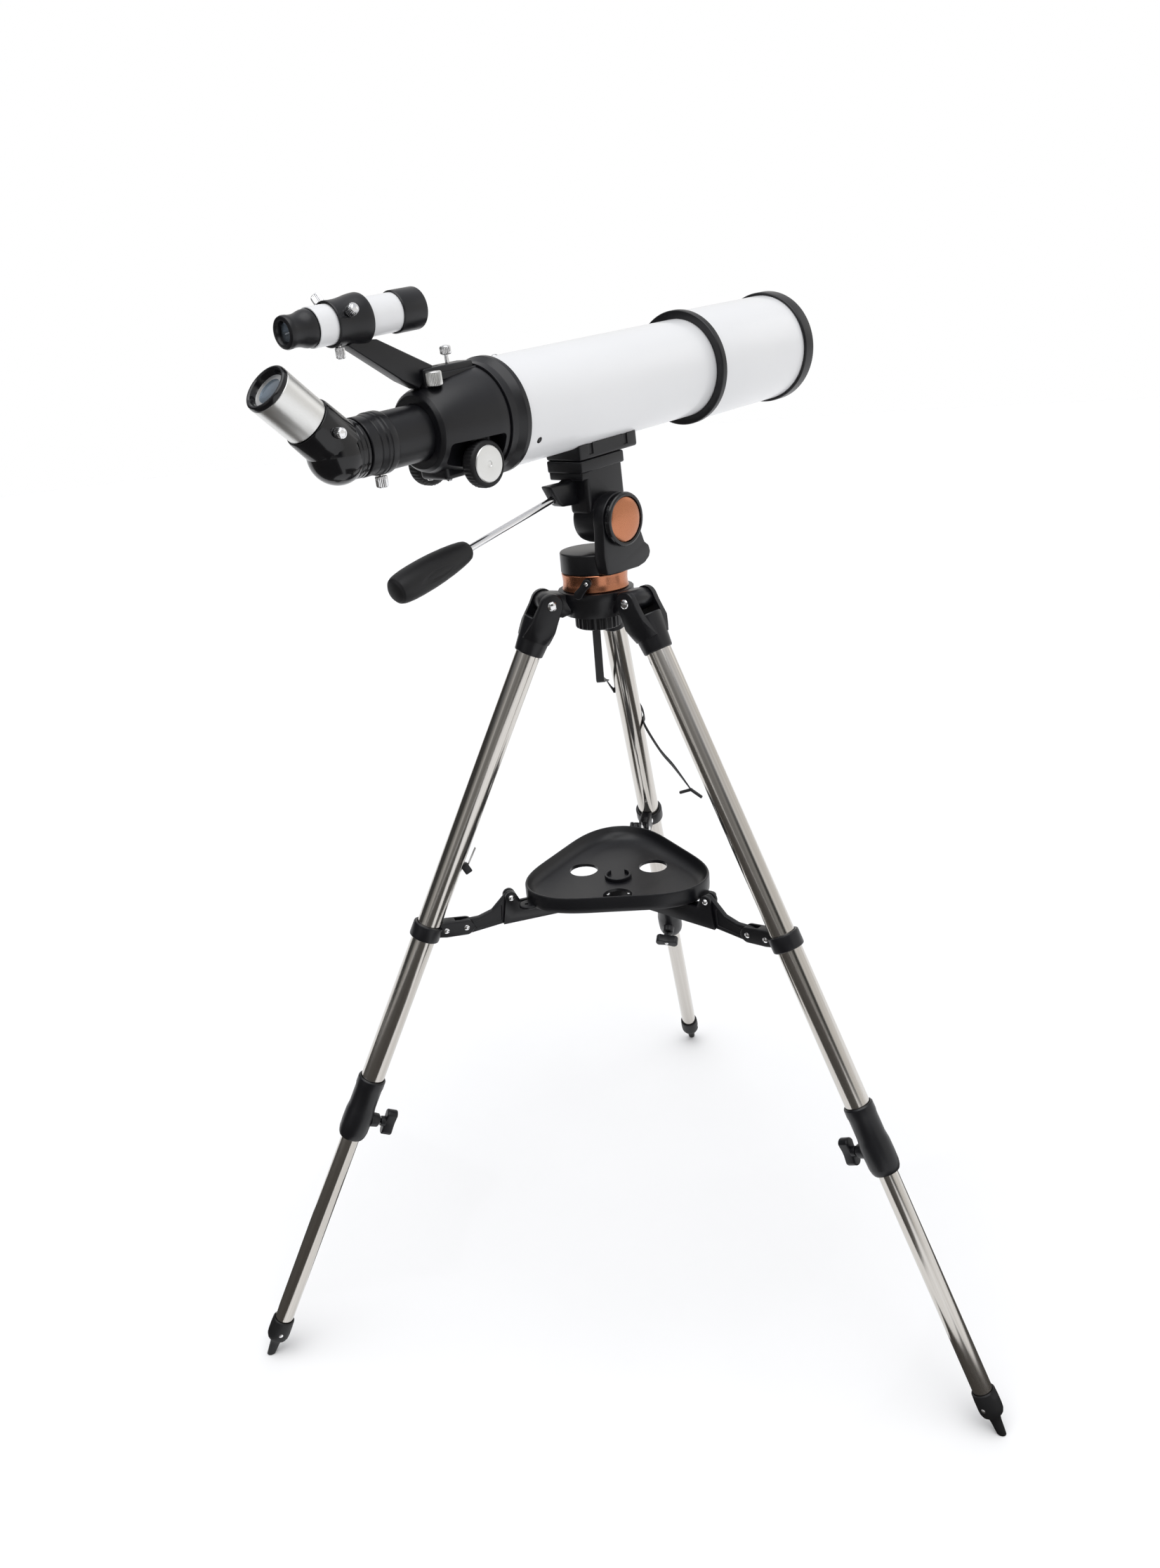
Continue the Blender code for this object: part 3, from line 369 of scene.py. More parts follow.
def optical_tube():
    spun("main_tube_shell", pipe(TUBE_R, TUBE_R - 0.0009, 0.158, -0.104), "telescope",
         "white_tube", "main_tube")
    spun("main_tube_lining", pipe(0.0408, 0.0403, 0.143, -0.09), "telescope",
         BLACK, mat=INSIDE)
    for n, x in enumerate((0.09, 0.02, -0.05)):
        spun(f"light_baffle_{n + 1}", pipe(0.0403, 0.034 - 0.004 * n, x, x - 0.0006),
             "telescope", BLACK, mat=INSIDE)
    spun("dew_shield_joint", [
        (0.0455, 0.151), (0.0455, 0.1384), (0.0484, 0.1384), (0.0491, 0.1377), (0.0491, 0.1325),
        (0.0484, 0.1317), (0.0421, 0.1317), (0.0421, 0.151)], "telescope", BLACK,
        "dew_shield_ring")
    spun("dew_shield_shell", pipe(SHIELD_R, SHIELD_R - 0.0009, 0.27, 0.1387), "telescope",
         "white_tube", "dew_shield")
    spun("dew_shield_lining", pipe(0.0463, 0.0459, 0.263, 0.153), "telescope",
         BLACK, mat=INSIDE)
    spun("front_trim", [(0.049, 0.2768), (0.05, 0.2758), (0.05, 0.2641), (0.049, 0.2631),
            (0.0476, 0.2631), (0.0476, 0.2703), (0.0455, 0.2703), (0.0455, 0.2768)], "telescope",
            BLACK, "front_ring", fillet=0.0006)
    spun("lens_glass", [(0, 0.156), (0.01, 0.1558), (0.02, 0.1552), (0.03, 0.1541),
            (0.0385, 0.1527), (0.0385, 0.147), (0.02, 0.1445), (0, 0.144)], "telescope",
            "coated_glass", "objective_lens", ring=False, fillet=0.0002)
    spun("lens_cell", [(0.045, 0.153), (0.045, 0.1585), (0.0392, 0.1585), (0.0376, 0.156),
            (0.0376, 0.1545), (0.0388, 0.1535), (0.0388, 0.145), (0.0405, 0.145),
            (0.0405, 0.153)], "telescope", BLACK)
    spun("rear_flange", [
        (0.0399, -0.092), (0.0399, -0.1043), (0.043, -0.1043), (0.0438, -0.1052),
        (0.0438, -0.1092), (0.0428, -0.1108), (0.0419, -0.113), (0.0408, -0.115),
        (0.0405, -0.116), (0.0405, -0.122), (0.024, -0.122), (0.034, -0.092)],
        "telescope", BLACK, "rear_collar")
    for n, (y, z) in enumerate(((-0.036, -0.0213), (0.0004, 0.042), (0.0358, -0.0213))):
        out = atan2(z, y)
        spot = TUBE @ placed((-0.092, 0.0414 * cos(out), 0.0414 * sin(out)),
                             (out - pi / 2, 0, 0))
        head = lathe(f"flange_screw_{n + 1}", [(0, 0.0012), (0.0014, 0.0012), (0.0026, 0.0005),
                (0.0028, 0.0), (0, 0.0)], spot)
        slot_cut = block("cut", (-0.0004, -0.0022, 0.0006), (0.0004, 0.0022, 0.002), spot, 0)
        piece(cut(head, slot_cut), "telescope", "black_gloss" if n != 1 else "chrome")


BODY = [(0.0388, -0.1223), (0.0391, -0.124), (0.0384, -0.132), (0.036, -0.15),
        (0.033, -0.164), (0.0303, -0.1745), (0.0288, -0.1785), (0.0262, -0.1812)]
AXLE = TUBE @ placed((FOCUS_X, 0, FOCUS_Z)) @ TO_Y


def focuser():
    body = lathe("focuser_cone", [(0, -0.1223)] + BODY + [(0, -0.1812)], TUBE @ TO_X,
                 fillet=0.0012, sides=128)
    for side in (-1, 1):
        low, high = sorted((side * 0.019, side * 0.045))
        cut(body, block("cut", (-0.175, low, -0.05), (-0.127, high, -0.009), TUBE, 0.003))
    housing = block("housing", (-0.172, -0.015, -0.0362), (-0.13, 0.015, -0.02), TUBE,
                    0.0035, 5)
    union(body, housing)
    cut(body, rod(0.0206, -0.19, -0.11, TUBE @ TO_X, sides=128),
        rod(0.0033, -0.05, 0.05, AXLE, sides=32))
    piece(fine_edges(body, 0.0006, 40), "telescope", BLACK, "focuser_body")
    spun("felt_ring", pipe(0.0206, 0.02035, -0.1795, -0.17), "telescope", BLACK,
         mat=INSIDE)
    for x in (-0.166, -0.136):
        for y in (-0.0105, 0.0105):
            head = lathe(f"housing_screw_{'a' if y < 0 else 'b'}{int(-x * 1000)}",
                         [(0, 0.0014), (0.0018, 0.0012), (0.0026, 0.0), (0, -0.0004)],
                         TUBE @ placed((x, y, -0.0362), (pi, 0, 0)))
            piece(head, "telescope", "chrome")
    spun("drawtube_shell", pipe(0.0203, 0.0175, -0.125, -0.215), "drawtube", BLACK,
         "drawtube")
    back = lathe("visual_back_body", [
        (0.0205, -0.2153), (0.0216, -0.2157), (0.022, -0.217), (0.022, -0.2215),
        (0.0214, -0.2222), (0.0214, -0.223), (0.022, -0.2237), (0.022, -0.225),
        (0.0212, -0.2262), (0.0209, -0.23), (0.0204, -0.2306), (0.0208, -0.2314),
        (0.0208, -0.2384), (0.0203, -0.239), (0.0162, -0.239), (0.0162, -0.2153)],
        TUBE @ TO_X, True, 0.0003, 128)
    cut(back, rod(0.0018, -0.03, -0.018, TUBE @ placed((-0.2205, 0, 0)), sides=32))
    piece(back, "drawtube", BLACK, "visual_back")
    thumbscrew("back_thumbscrew", TUBE @ placed((-0.2205, 0, -0.0223), (pi, 0, 0)), 0.0042,
               0.0085, 0.004, "visual_back_screw", "visual_back_screw")


def focus_knobs():
    for side, name in ((-1, "right"), (1, "left")):
        place = TUBE @ placed((FOCUS_X, 0, FOCUS_Z)) @ placed(turn=(-side * pi / 2, 0, 0))

        def grip(angle, height):
            return 0.00035 * cos(36 * angle) if 0.0272 < height < 0.0336 else 0.0
        rubber = lathe(f"focus_grip_{name}", [
            (0, 0.0356), (0.0137, 0.0356), (0.0139, 0.0362), (0.0146, 0.0366), (0.0158, 0.0362),
            (0.0168, 0.0352), (0.0172, 0.0342), (0.0172, 0.033), (0.0172, 0.03),
            (0.0172, 0.0275), (0.0168, 0.0262), (0.0158, 0.0246), (0.012, 0.0222),
            (0.007, 0.0206), (0, 0.0206)], place, False, 0, 288, grip)
        piece(rubber, "focus_knobs", "black_rubber", f"focus_knob_{name}")
        disc = lathe(f"focus_face_{name}", [(0, 0.0366), (0.002, 0.0366), (0.0024, 0.037),
                (0.0128, 0.037), (0.0136, 0.0364), (0.0137, 0.0354), (0, 0.0354)], place,
                fillet=0.0002)
        piece(disc, "focus_knobs", "satin_aluminium")
    shaft = rod(0.003, -0.024, 0.024, AXLE, sides=48)
    shaft.name = "focus_shaft"
    piece(shaft, "focus_knobs", "chrome")

    def teeth(angle, height):
        return 0.0006 * cos(14 * angle)
    pinion = lathe("focus_pinion", [(0, -0.005), (0.0058, -0.005), (0.0058, 0.005), (0, 0.005)],
            AXLE, fillet=0, sides=112, wave=teeth)
    piece(pinion, "focus_knobs", "chrome")


EYE = TUBE @ placed((DIAG_X, 0, 0), (0, -pi / 4, 0))
DIAG_SCREW = EYE @ placed((0, 0, 0.0235)) @ placed(turn=(radians(95), 0, 0)) @ \
    placed((0, 0, 0.0192))


def star_diagonal():
    nose = lathe("diagonal_body", [
        (0, -0.219), (0.0158, -0.219), (0.0158, -0.2393), (0.019, -0.2393), (0.0198, -0.2398),
        (0.0204, -0.241), (0.0204, -0.2428), (0.0199, -0.2434), (0.0199, -0.2446),
        (0.0204, -0.2452), (0.0204, -0.247), (0.02, -0.2478), (0.02, -0.25),
        (0, -0.25)], TUBE @ TO_X, fillet=0.0003, sides=128)
    elbow = ball("elbow", 0.0206, TUBE @ placed((-0.2556, 0, -0.0014)))
    holder = lathe("holder", [(0, 0.004), (0.0196, 0.004), (0.0194, 0.02), (0.0189, 0.0325),
            (0.0184, 0.034), (0, 0.034)], EYE, fillet=0.0004, sides=128)
    union(nose, elbow, holder)
    cut(nose, rod(0.0162, 0.008, 0.05, EYE, sides=128),
        rod(0.0017, -0.0045, 0.006, DIAG_SCREW, sides=32),
        rod(0.013, -0.242, -0.2, TUBE @ TO_X, sides=96))
    piece(nose, "diagonal", "black_gloss", "diagonal")
    thumbscrew("diagonal_thumbscrew", DIAG_SCREW @ placed((0, 0, 0.0003)), 0.0037, 0.0062,
               0.003, "diagonal_screw", "diagonal_screw")
    barrel = lathe("eyepiece_barrel", [
        (0, 0.013), (0.0158, 0.013), (0.0158, 0.0343), (0.017, 0.0343), (0.0174, 0.0347),
        (0.0174, 0.0682), (0.017, 0.0686), (0, 0.0664)], EYE, sides=128)
    piece(barrel, "eyepiece", "satin_aluminium", "eyepiece")
    cup = lathe("eyepiece_cup", [
        (0.015, 0.066), (0.0171, 0.0684), (0.0175, 0.069), (0.0174, 0.0704), (0.017, 0.0716),
        (0.0162, 0.0723), (0.0152, 0.0723), (0.0142, 0.0716), (0.0134, 0.07),
        (0.0126, 0.0682), (0.0118, 0.0672), (0.0112, 0.0667)], EYE, True, 0.0003, 128)
    piece(cup, "eyepiece", "black_gloss")
    lens = lathe("eye_lens", [(0, 0.069), (0.0045, 0.0686), (0.0085, 0.0679), (0.0116, 0.0669),
            (0.0116, 0.066), (0, 0.066)], EYE, fillet=0)
    piece(lens, "eyepiece", "coated_glass")


# ---- finder
FINDER = TUBE @ placed((FINDER_X, 0, FINDER_Z), (0, pi / 2 - FINDER_TILT, 0))


def finder():
    def turned(name, profile, body, slot, *nodes, ring=True, fillet=0.0003, mat=None, wave=None,
               sides=96):
        return piece(lathe(name, profile, FINDER, ring, fillet, sides, wave), body, slot, *nodes,
                     mat=mat)
    turned("finder_shell", pipe(0.0132, 0.0122, 0.0645, -0.028), "telescope", "white_tube",
           "finder_tube")
    turned("finder_lining", pipe(0.0122, 0.0119, 0.056, -0.012), "telescope",
           BLACK, mat=INSIDE)
    turned("finder_shade", [(0.0136, 0.066), (0.0143, 0.0657), (0.0145, 0.0648), (0.0145, 0.045),
            (0.014, 0.044), (0.0133, 0.044), (0.0133, 0.0648), (0.012, 0.0648),
            (0.012, 0.066)], "telescope", BLACK, "finder_hood")
    turned("finder_front_lens", [(0, 0.0604), (0.006, 0.06), (0.0119, 0.0588), (0.0119, 0.057),
            (0, 0.0566)], "telescope", "coated_glass", ring=False, fillet=0)

    def ridges(angle, height):
        return 0.00018 * cos(44 * angle) if -0.0478 < height < -0.0462 else 0.0
    turned("finder_eye_end", [
        (0.007, -0.018), (0.0115, -0.018), (0.0115, -0.0283), (0.0121, -0.0284),
        (0.0123, -0.0292), (0.0122, -0.0322), (0.0118, -0.034), (0.011, -0.0365),
        (0.0105, -0.039), (0.0104, -0.0415), (0.0105, -0.044), (0.0108, -0.0455),
        (0.0109, -0.0478), (0.0104, -0.0492), (0.0092, -0.0499), (0.0078, -0.0498),
        (0.007, -0.0488), (0.0062, -0.0462)], "finder_eyepiece", BLACK,
        "finder_eyepiece", wave=ridges, sides=352, fillet=0)
    turned("finder_eye_lens", [(0, -0.0466), (0.0035, -0.0465), (0.0064, -0.0459),
            (0.0064, -0.045), (0, -0.045)], "finder_eyepiece", "coated_glass", ring=False,
            fillet=0)
    turned("finder_ring", [(0.0158, 0.0154), (0.0168, 0.015), (0.0171, 0.0138), (0.017, 0.011),
            (0.0166, 0.007), (0.0157, 0.002), (0.0151, -0.003), (0.015, -0.008),
            (0.0153, -0.0122), (0.015, -0.0132), (0.014, -0.0134), (0.0135, -0.012),
            (0.0135, 0.014), (0.0142, 0.0154)], "telescope", BLACK, "finder_bracket")
    arm = prism("finder_arm", [(-0.16, 0.044), (-0.176, 0.03), (-0.19, 0.0375), (-0.233, 0.0672),
                               (-0.227, 0.07), (-0.207, 0.068)], -0.0058, 0.0058,
                TUBE @ FLAT_Y, 0.0012)
    piece(arm, "telescope", BLACK)
    shoe = block("finder_shoe", (-0.1725, -0.0085, 0.029), (-0.1235, 0.0085, 0.043), TUBE,
                 0.0015)
    groove = block("cut", (-0.173, -0.002, 0.041), (-0.15, 0.002, 0.044), TUBE, 0)
    piece(cut(shoe, groove), "telescope", BLACK)
    foot = prism("finder_foot", arc(-0.1245, 0, 0.0105, -90, 90, 24) +
                 [(-0.16, 0.0105), (-0.16, -0.0105)], 0.033, 0.0385, TUBE, 0.001)
    piece(foot, "telescope", BLACK)
    thumbscrew("finder_screw_near", FINDER @ placed((-0.0057, -0.0142, -0.0036)) @
               placed(turn=(radians(90), 0, radians(-22))), 0.0037, 0.0072, 0.004, "telescope")
    thumbscrew("finder_screw_far", FINDER @ placed((-0.0122, 0.009, -0.008)) @
               placed(turn=(radians(90), 0, radians(-126))), 0.0034, 0.0075, 0.004, "telescope")
    thumbscrew("finder_screw_low", TUBE @ placed((-0.2385, -0.003, 0.0672), (pi, 0, 0)),
               0.003, 0.0078, 0.004, "telescope")
    thumbscrew("shoe_screw", TUBE @ placed((-0.1412, 0, 0.049)), 0.0039, 0.0062, 0.007,
               "telescope")
    knob = knurled("shoe_clamp", 0.0056, 0.0, 0.01,
                   TUBE @ placed((-0.1676, -0.0128, 0.0308)), ribs=30, depth=0.0006)
    piece(knob, "telescope", "satin_aluminium")


# ---- head
def in_tube(x, z):
    up = z - TUBE_Z
    return x * cos(TUBE_TILT) + up * sin(TUBE_TILT), -x * sin(TUBE_TILT) + up * cos(TUBE_TILT)


ALT_X, ALT_H = in_tube(0, ALT_Z)
HANDLE_START, HANDLE_END = in_tube(-0.0446, 0.7938), in_tube(-0.22, 0.755)
DROP = atan2(HANDLE_START[1] - HANDLE_END[1], HANDLE_START[0] - HANDLE_END[0])
TILT_AXIS = TUBE @ placed((ALT_X, 0, ALT_H)) @ TO_Y


def handle_place(along):
    """A frame on the pan handle's axis, +Z pointing out to the grip."""
    return TUBE @ placed((HANDLE_START[0] - along * cos(DROP), 0,
                          HANDLE_START[1] - along * sin(DROP)), (0, -pi / 2 - DROP, 0))


def tube_saddle():
    saddle = block("saddle_block", (-0.031, -0.0195, -0.05), (0.0425, 0.0195, -0.033), TUBE,
                   0.0022, 4)
    slots = [block("cut", (x, -0.021, -0.0462), (x + 0.0052, -0.0183, -0.03), TUBE, 0)
             for x in (0.0245, -0.0195)]
    cut(saddle, rod(TUBE_R + 0.0002, -0.06, 0.06, TUBE @ TO_X, sides=128), *slots)
    piece(fine_edges(saddle, 0.0004), "telescope", BLACK, "tube_saddle")


def altitude_head():
    table = block("head_table", (-0.031, -0.0195, -0.06), (0.0235, 0.0195, -0.0501), TUBE,
                  0.0016, 4)
    plinth = block("cut", (-0.0302, -0.0187, -0.066), (0.01, 0.0187, -0.059), TUBE, 0.0015)
    neck = block("cut", (ALT_X - 0.0197, -0.0188, ALT_H + 0.0063), (0.0215, 0.0045, -0.0551),
                 TUBE, 0.004, 5)
    drum = lathe("cut", [(0, 0.005), (0.015, 0.005), (0.0195, 0.002), (0.0205, -0.003),
            (0.0205, ARM_IN + 0.0003), (0, ARM_IN + 0.0003)], TILT_AXIS, fillet=0.001)
    socket = prism("cut", [(-0.0557, -0.0654), (-0.034, -0.0664), (-0.015, -0.0592),
            (-0.01, -0.0853), (-0.0262, -0.0862), (-0.043, -0.0845), (-0.047, -0.0814)],
            -0.0063, 0.0061, TUBE @ FLAT_Y, 0.002)
    union(table, plinth, neck, drum, socket)
    cut(table, rod(0.0031, 0, 0.06, handle_place(-0.0183), sides=32),
        rod(0.0044, -0.03, -0.002, TILT_AXIS, sides=48))
    piece(fine_edges(table, 0.0005, 40), "telescope", BLACK, "altitude_head")


def altitude_knob():
    here = STAND @ placed((0, ARM_OUT, ALT_Z)) @ TO_Y
    knob = lathe("altitude_ring", [
        (0, 0.0108), (0.0036, 0.0108), (0.0036, -0.0003), (0.0195, -0.0003), (0.0215, -0.001),
        (0.0225, -0.0024), (0.0225, -0.005), (0.0218, -0.0063), (0.0205, -0.0068),
        (0.019, -0.0066), (0.0188, -0.003), (0, -0.003)], here, sides=128)
    piece(knob, "altitude_knob", "black_gloss", "altitude_knob")
    cap = lathe("altitude_dome", [(0, -0.0033), (0.0185, -0.0033), (0.0185, -0.0058),
            (0.0168, -0.0068), (0.014, -0.0077), (0.01, -0.0084), (0.005, -0.0088),
            (0, -0.0089)], here, sides=128)
    piece(cap, "altitude_knob", "copper_trim", "altitude_cap")


def turntable():
    base = DISC_BOTTOM
    disc = lathe("turntable_disc", [
        (0, DISC_TOP), (0.0272, DISC_TOP), (0.0284, DISC_TOP - 0.0004), (DISC_R, DISC_TOP - 0.0014),
        (DISC_R, base), (0, base)], STAND, sides=128)
    outline = arc(0, ALT_Z, 0.0225, -10, 190, 60) + \
        [(-0.0235, DISC_TOP), (-0.0218, base + 0.006), (-0.02, base), (0.02, base),
         (0.029, base + 0.002), (0.035, base + 0.006), (0.037, base + 0.0105),
         (0.0355, base + 0.016), (0.03, base + 0.02)]
    arm = prism("cut", rounded(outline, 0.004), -ARM_IN, -ARM_OUT,
                STAND @ FLAT_Y, 0.0012)
    union(disc, arm)
    cut(disc, rod(0.0044, -0.06, 0.02, STAND @ placed((0, 0, ALT_Z)) @ TO_Y, sides=48))
    piece(disc, "turntable", BLACK, "turntable")
    ring = lathe("azimuth_band", [
        (0.0243, 0.727), (0.0284, 0.727), (0.0288, 0.7262), (0.0284, 0.7235), (0.028, 0.719),
        (0.0284, 0.7145), (0.029, 0.713), (0.0286, 0.7121), (0.0243, 0.7121)], STAND, True,
        0.0003, 128)
    piece(ring, "hub", "copper_trim", "azimuth_ring")


def azimuth_lock():
    lock = STAND @ placed((0, 0, 0.7183), (0, pi / 2, radians(205)))
    shape = arc(0.006, 0, 0.004, -80, 80, 20) + [(0.0, 0.0032)] + \
        arc(-0.006, 0, 0.004, 100, 260, 20) + [(0.0, -0.0032)]
    wing = prism("azimuth_wing", rounded(shape, 0.004), 0, 0.0065,
                 lock @ placed((0, 0, 0.033), (0, 0, radians(-40))), 0.001)
    joined(wing, rod(0.002, 0.0205, 0.034, lock, sides=32))
    piece(wing, "azimuth_lock", BLACK, "azimuth_lock_screw")
    dot = lathe("azimuth_wing_pin", [(0, 0.0007), (0.001, 0.0006), (0.0018, 0.0001), (0, -0.0008)],
            lock @ placed((0, 0, 0.0395), (0, 0, radians(-40))) @ placed((-0.0058, 0, 0)))
    piece(dot, "azimuth_lock", "chrome")


def pan_handle():
    reach = hypot(HANDLE_START[0] - HANDLE_END[0], HANDLE_START[1] - HANDLE_END[1])
    start = reach - 0.077
    bar = lathe("handle_rod", [(0, -0.0175), (0.0028, -0.0175), (0.0028, start + 0.0195),
            (0, start + 0.0195)], handle_place(0), sides=48)
    piece(bar, "pan_handle", "chrome", "pan_handle_rod")
    place = handle_place(start)
    grip = lathe("handle_grip", [
        (0, 0.0785), (0.0048, 0.0783), (0.008, 0.0774), (0.01, 0.0757), (0.011, 0.0732),
        (0.0116, 0.07), (0.0122, 0.064), (0.0125, 0.056), (0.0125, 0.044),
        (0.0121, 0.034), (0.0112, 0.022), (0.01, 0.012), (0.0088, 0.005),
        (0.0078, 0.0016), (0.0066, 0.0), (0.003, 0.0), (0.003, 0.0203), (0, 0.0203)],
        place, fillet=0)
    for side in (-1, 1):
        scoop = ball("cut", 1, place @ placed((0, side * 0.0148, 0.04)),
                     (0.0072, 0.004, 0.026))
        rib = ball("cut", 1, place @ placed((0, side * 0.0106, 0.04)),
                   (0.003, 0.0013, 0.017))
        cut(grip, scoop)
        union(grip, rib)
    piece(fine_edges(grip, 0.0007, 24), "pan_handle", "black_rubber", "pan_handle_grip")


# ---- hub and legs
def hub():
    keep("tripod_hub", BLACK, 0.0009)

    def ribs(angle, height):
        return 0.0005 * cos(24 * angle) if 0.678 < height < 0.689 else 0.0
    knob = lathe("centre_knob_body", [
        (0.0053, 0.6776), (0.0185, 0.6776), (0.0196, 0.6784), (0.0197, 0.681), (0.0197, 0.686),
        (0.0196, 0.6886), (0.0185, 0.6894), (0.0053, 0.6894)], STAND, True, 0, 192, ribs)
    piece(knob, "centre_knob", BLACK, "centre_knob")


def hip_point(azimuth):
    return HIP_RADIUS * cos(azimuth), HIP_RADIUS * sin(azimuth), HIP_Z


def hip_frame(azimuth):
    """A frame at a leg's hip, its -Z running down the leg."""
    return placed(hip_point(azimuth), (0, -SPLAY, azimuth))


def bolt(name, half, place):
    """A cross bolt whose shallow heads stand just proud of two cheeks."""
    low, edge, rim, top = half - 0.0004, half - 0.0002, half + 0.0008, half + 0.001
    return lathe(name, [
        (0, top), (0.0016, rim), (0.0028, edge), (0.0015, low), (0.0015, -low),
        (0.0028, -edge), (0.0016, -rim), (0, -top)], place, fillet=0, sides=48)


def hip_bolt(number, azimuth):
    half = 0.0168
    pin = lathe(f"hip_bolt_{number}", [
        (0, half + 0.0016), (0.0024, half + 0.0015), (0.0038, half + 0.0009), (0.0043, half),
        (0.003, half), (0.003, -half), (0.0043, -half), (0.0038, -half - 0.0009),
        (0.0024, -half - 0.0015), (0, -half - 0.0016)],
        STAND @ placed(hip_point(azimuth), (pi / 2, 0, azimuth)), fillet=0, sides=64)
    piece(pin, "hub", "chrome", f"hip_pin_{number}")


def fork(number, hip, body):
    cheeks = prism(f"fork_{number}", [(0.0126, -0.034), (0.0102, -0.006)] +
                   arc(0, 0, 0.0102, 0, 180, 32) + [(-0.0102, -0.006), (-0.0126, -0.034)],
                   -0.0165, 0.0165, hip @ FLAT_Y, 0.0012)
    limit = lathe("cut", [(0, 0.02), (0.023, 0.02), (0.022, -0.013), (0.0145, -0.0345),
            (0, -0.0345)], hip, fillet=0)
    boolean(cheeks, [limit], "INTERSECT")
    socket = lathe("cut", [(0, -0.0465), (0.012, -0.0465), (0.0128, -0.0456), (0.0133, -0.04),
            (0.0153, -0.016), (0.0146, -0.0146), (0, -0.014)], hip, fillet=0.0006)
    union(cheeks, socket)
    cut(cheeks, block("cut", (-0.03, -0.011, -0.015), (0.03, 0.011, 0.02), hip, 0),
        rod(LEG_HOLE, -0.057, -0.0264, hip))
    piece(fine_edges(cheeks, 0.0006, 40), body, BLACK, f"leg_{number}_fork")


def leg_lock(number, hip, body):
    shell = lathe(f"lock_shell_{number}", [
        (0.0113, -LOCK_TOP), (0.0124, -LOCK_TOP), (0.0131, -0.4732), (0.0132, -0.48),
        (0.0127, -0.483), (0.0127, -0.501), (0.0132, -0.505), (0.0137, -0.509),
        (0.0139, -0.519), (0.0137, -0.5285), (0.0128, -0.533), (0.0116, -LOCK_END),
        (0.0091, -LOCK_END), (0.0091, -0.5284), (0.0113, -0.5284)], hip, True)
    inward = (0, -pi / 2, 0)
    boss = lathe("cut", [(0, 0.0), (0.007, 0.0), (0.0064, 0.007), (0.0056, 0.008), (0, 0.008)],
            hip @ placed((-0.0125, 0, -SCREW_S), inward), sides=64)
    union(shell, boss)
    cut(shell, rod(0.0024, 0, 0.02, hip @ placed((-0.0128, 0, -SCREW_S), inward), sides=32))
    piece(fine_edges(shell, 0.0004, 40), body, BLACK, f"leg_{number}_lock_collar")
    here = hip @ placed((-0.0262, 0, -SCREW_S), inward) @ \
        Matrix.Rotation(radians(80) if number == 1 else 0, 4, "Z")
    outline = arc(0.0076, 0, 0.0054, -75, 75, 20) + [(0.002, 0.0041), (-0.002, 0.0041)] + \
        arc(-0.0076, 0, 0.0054, 105, 255, 20) + [(-0.002, -0.0041), (0.002, -0.0041)]
    wing = prism(f"lock_wing_{number}", rounded(outline, 0.003), 0, 0.01, here, 0.0016, 4)
    joined(wing, rod(0.0021, -0.013, 0.001, here, sides=32),
           lathe("neck", [(0, -0.0035), (0.0046, -0.0035), (0.005, 0.001), (0, 0.001)], here))
    piece(wing, f"leg_{number}_lock", BLACK, f"leg_{number}_lock_screw")
    cap = lathe(f"lock_wing_screw_{number}", [(0, 0.0107), (0.0014, 0.0106), (0.0024, 0.0099),
            (0, 0.0094)], here)
    piece(cap, f"leg_{number}_lock", "chrome")


def leg(number, azimuth):
    hip, body = STAND @ hip_frame(azimuth), f"leg_{number}"
    hip_bolt(number, azimuth)
    fork(number, hip, body)
    upper = lathe(f"upper_leg_{number}", pipe(UPPER_R, UPPER_BORE, -UPPER_TOP, -UPPER_END), hip,
                  True, 0.0002)
    piece(upper, body, "stainless_steel", f"leg_{number}_upper_tube")
    lower = lathe(f"lower_leg_{number}", pipe(LOWER_R, LOWER_BORE, -LOWER_TOP, -FOOT_TOP - 0.0177),
                  hip, True, 0.0002)
    piece(lower, f"leg_{number}_lower", "stainless_steel", f"leg_{number}_lower_tube")
    collar(number, hip, body)
    leg_lock(number, hip, body)
    foot(number, hip)


def foot(number, hip):
    tip = LEG_LENGTH
    shoe = lathe(f"foot_cup_{number}", [
        (0.0091, -FOOT_TOP), (0.0099, -FOOT_TOP), (0.0105, -FOOT_TOP - 0.001),
        (0.0108, -FOOT_TOP - 0.008), (0.0108, -FOOT_TOP - 0.016), (0.0105, -FOOT_TOP - 0.0195),
        (0.0094, -FOOT_TOP - 0.0222), (0.0064, -FOOT_TOP - 0.024),
        (0.0053, -FOOT_TOP - 0.0268), (0.0047, -FOOT_TOP - 0.03), (0.0043, -tip + 0.006),
        (0.0034, -tip - 0.004), (0, -tip - 0.004), (0, -FOOT_TOP - 0.018),
        (0.0091, -FOOT_TOP - 0.018)], hip, True, 0.0003, 96)
    floor = block("cut", (-0.6, -0.6, -0.1), (0.6, 0.6, 0.0002), STAND, 0)
    scoop = rod(0.0105, -0.03, 0.03, hip @ placed((0.02, 0, -FOOT_TOP - 0.001)) @ TO_Y)
    cut(shoe, floor, scoop)
    piece(fine_edges(shoe, 0.0004, 40), f"leg_{number}_lower", "black_rubber",
          f"leg_{number}_foot")
    for side in (-1, 1):
        dot = lathe(f"foot_rivet_{number}{'a' if side < 0 else 'b'}",
                    [(0, 0.0008), (0.0012, 0.0006), (0.002, 0.0), (0, -0.001)],
                    hip @ placed((0, side * 0.0107, -FOOT_TOP - 0.0135), (-side * pi / 2, 0, 0)),
                    fillet=0, sides=32)
        piece(dot, f"leg_{number}_lower", "chrome")


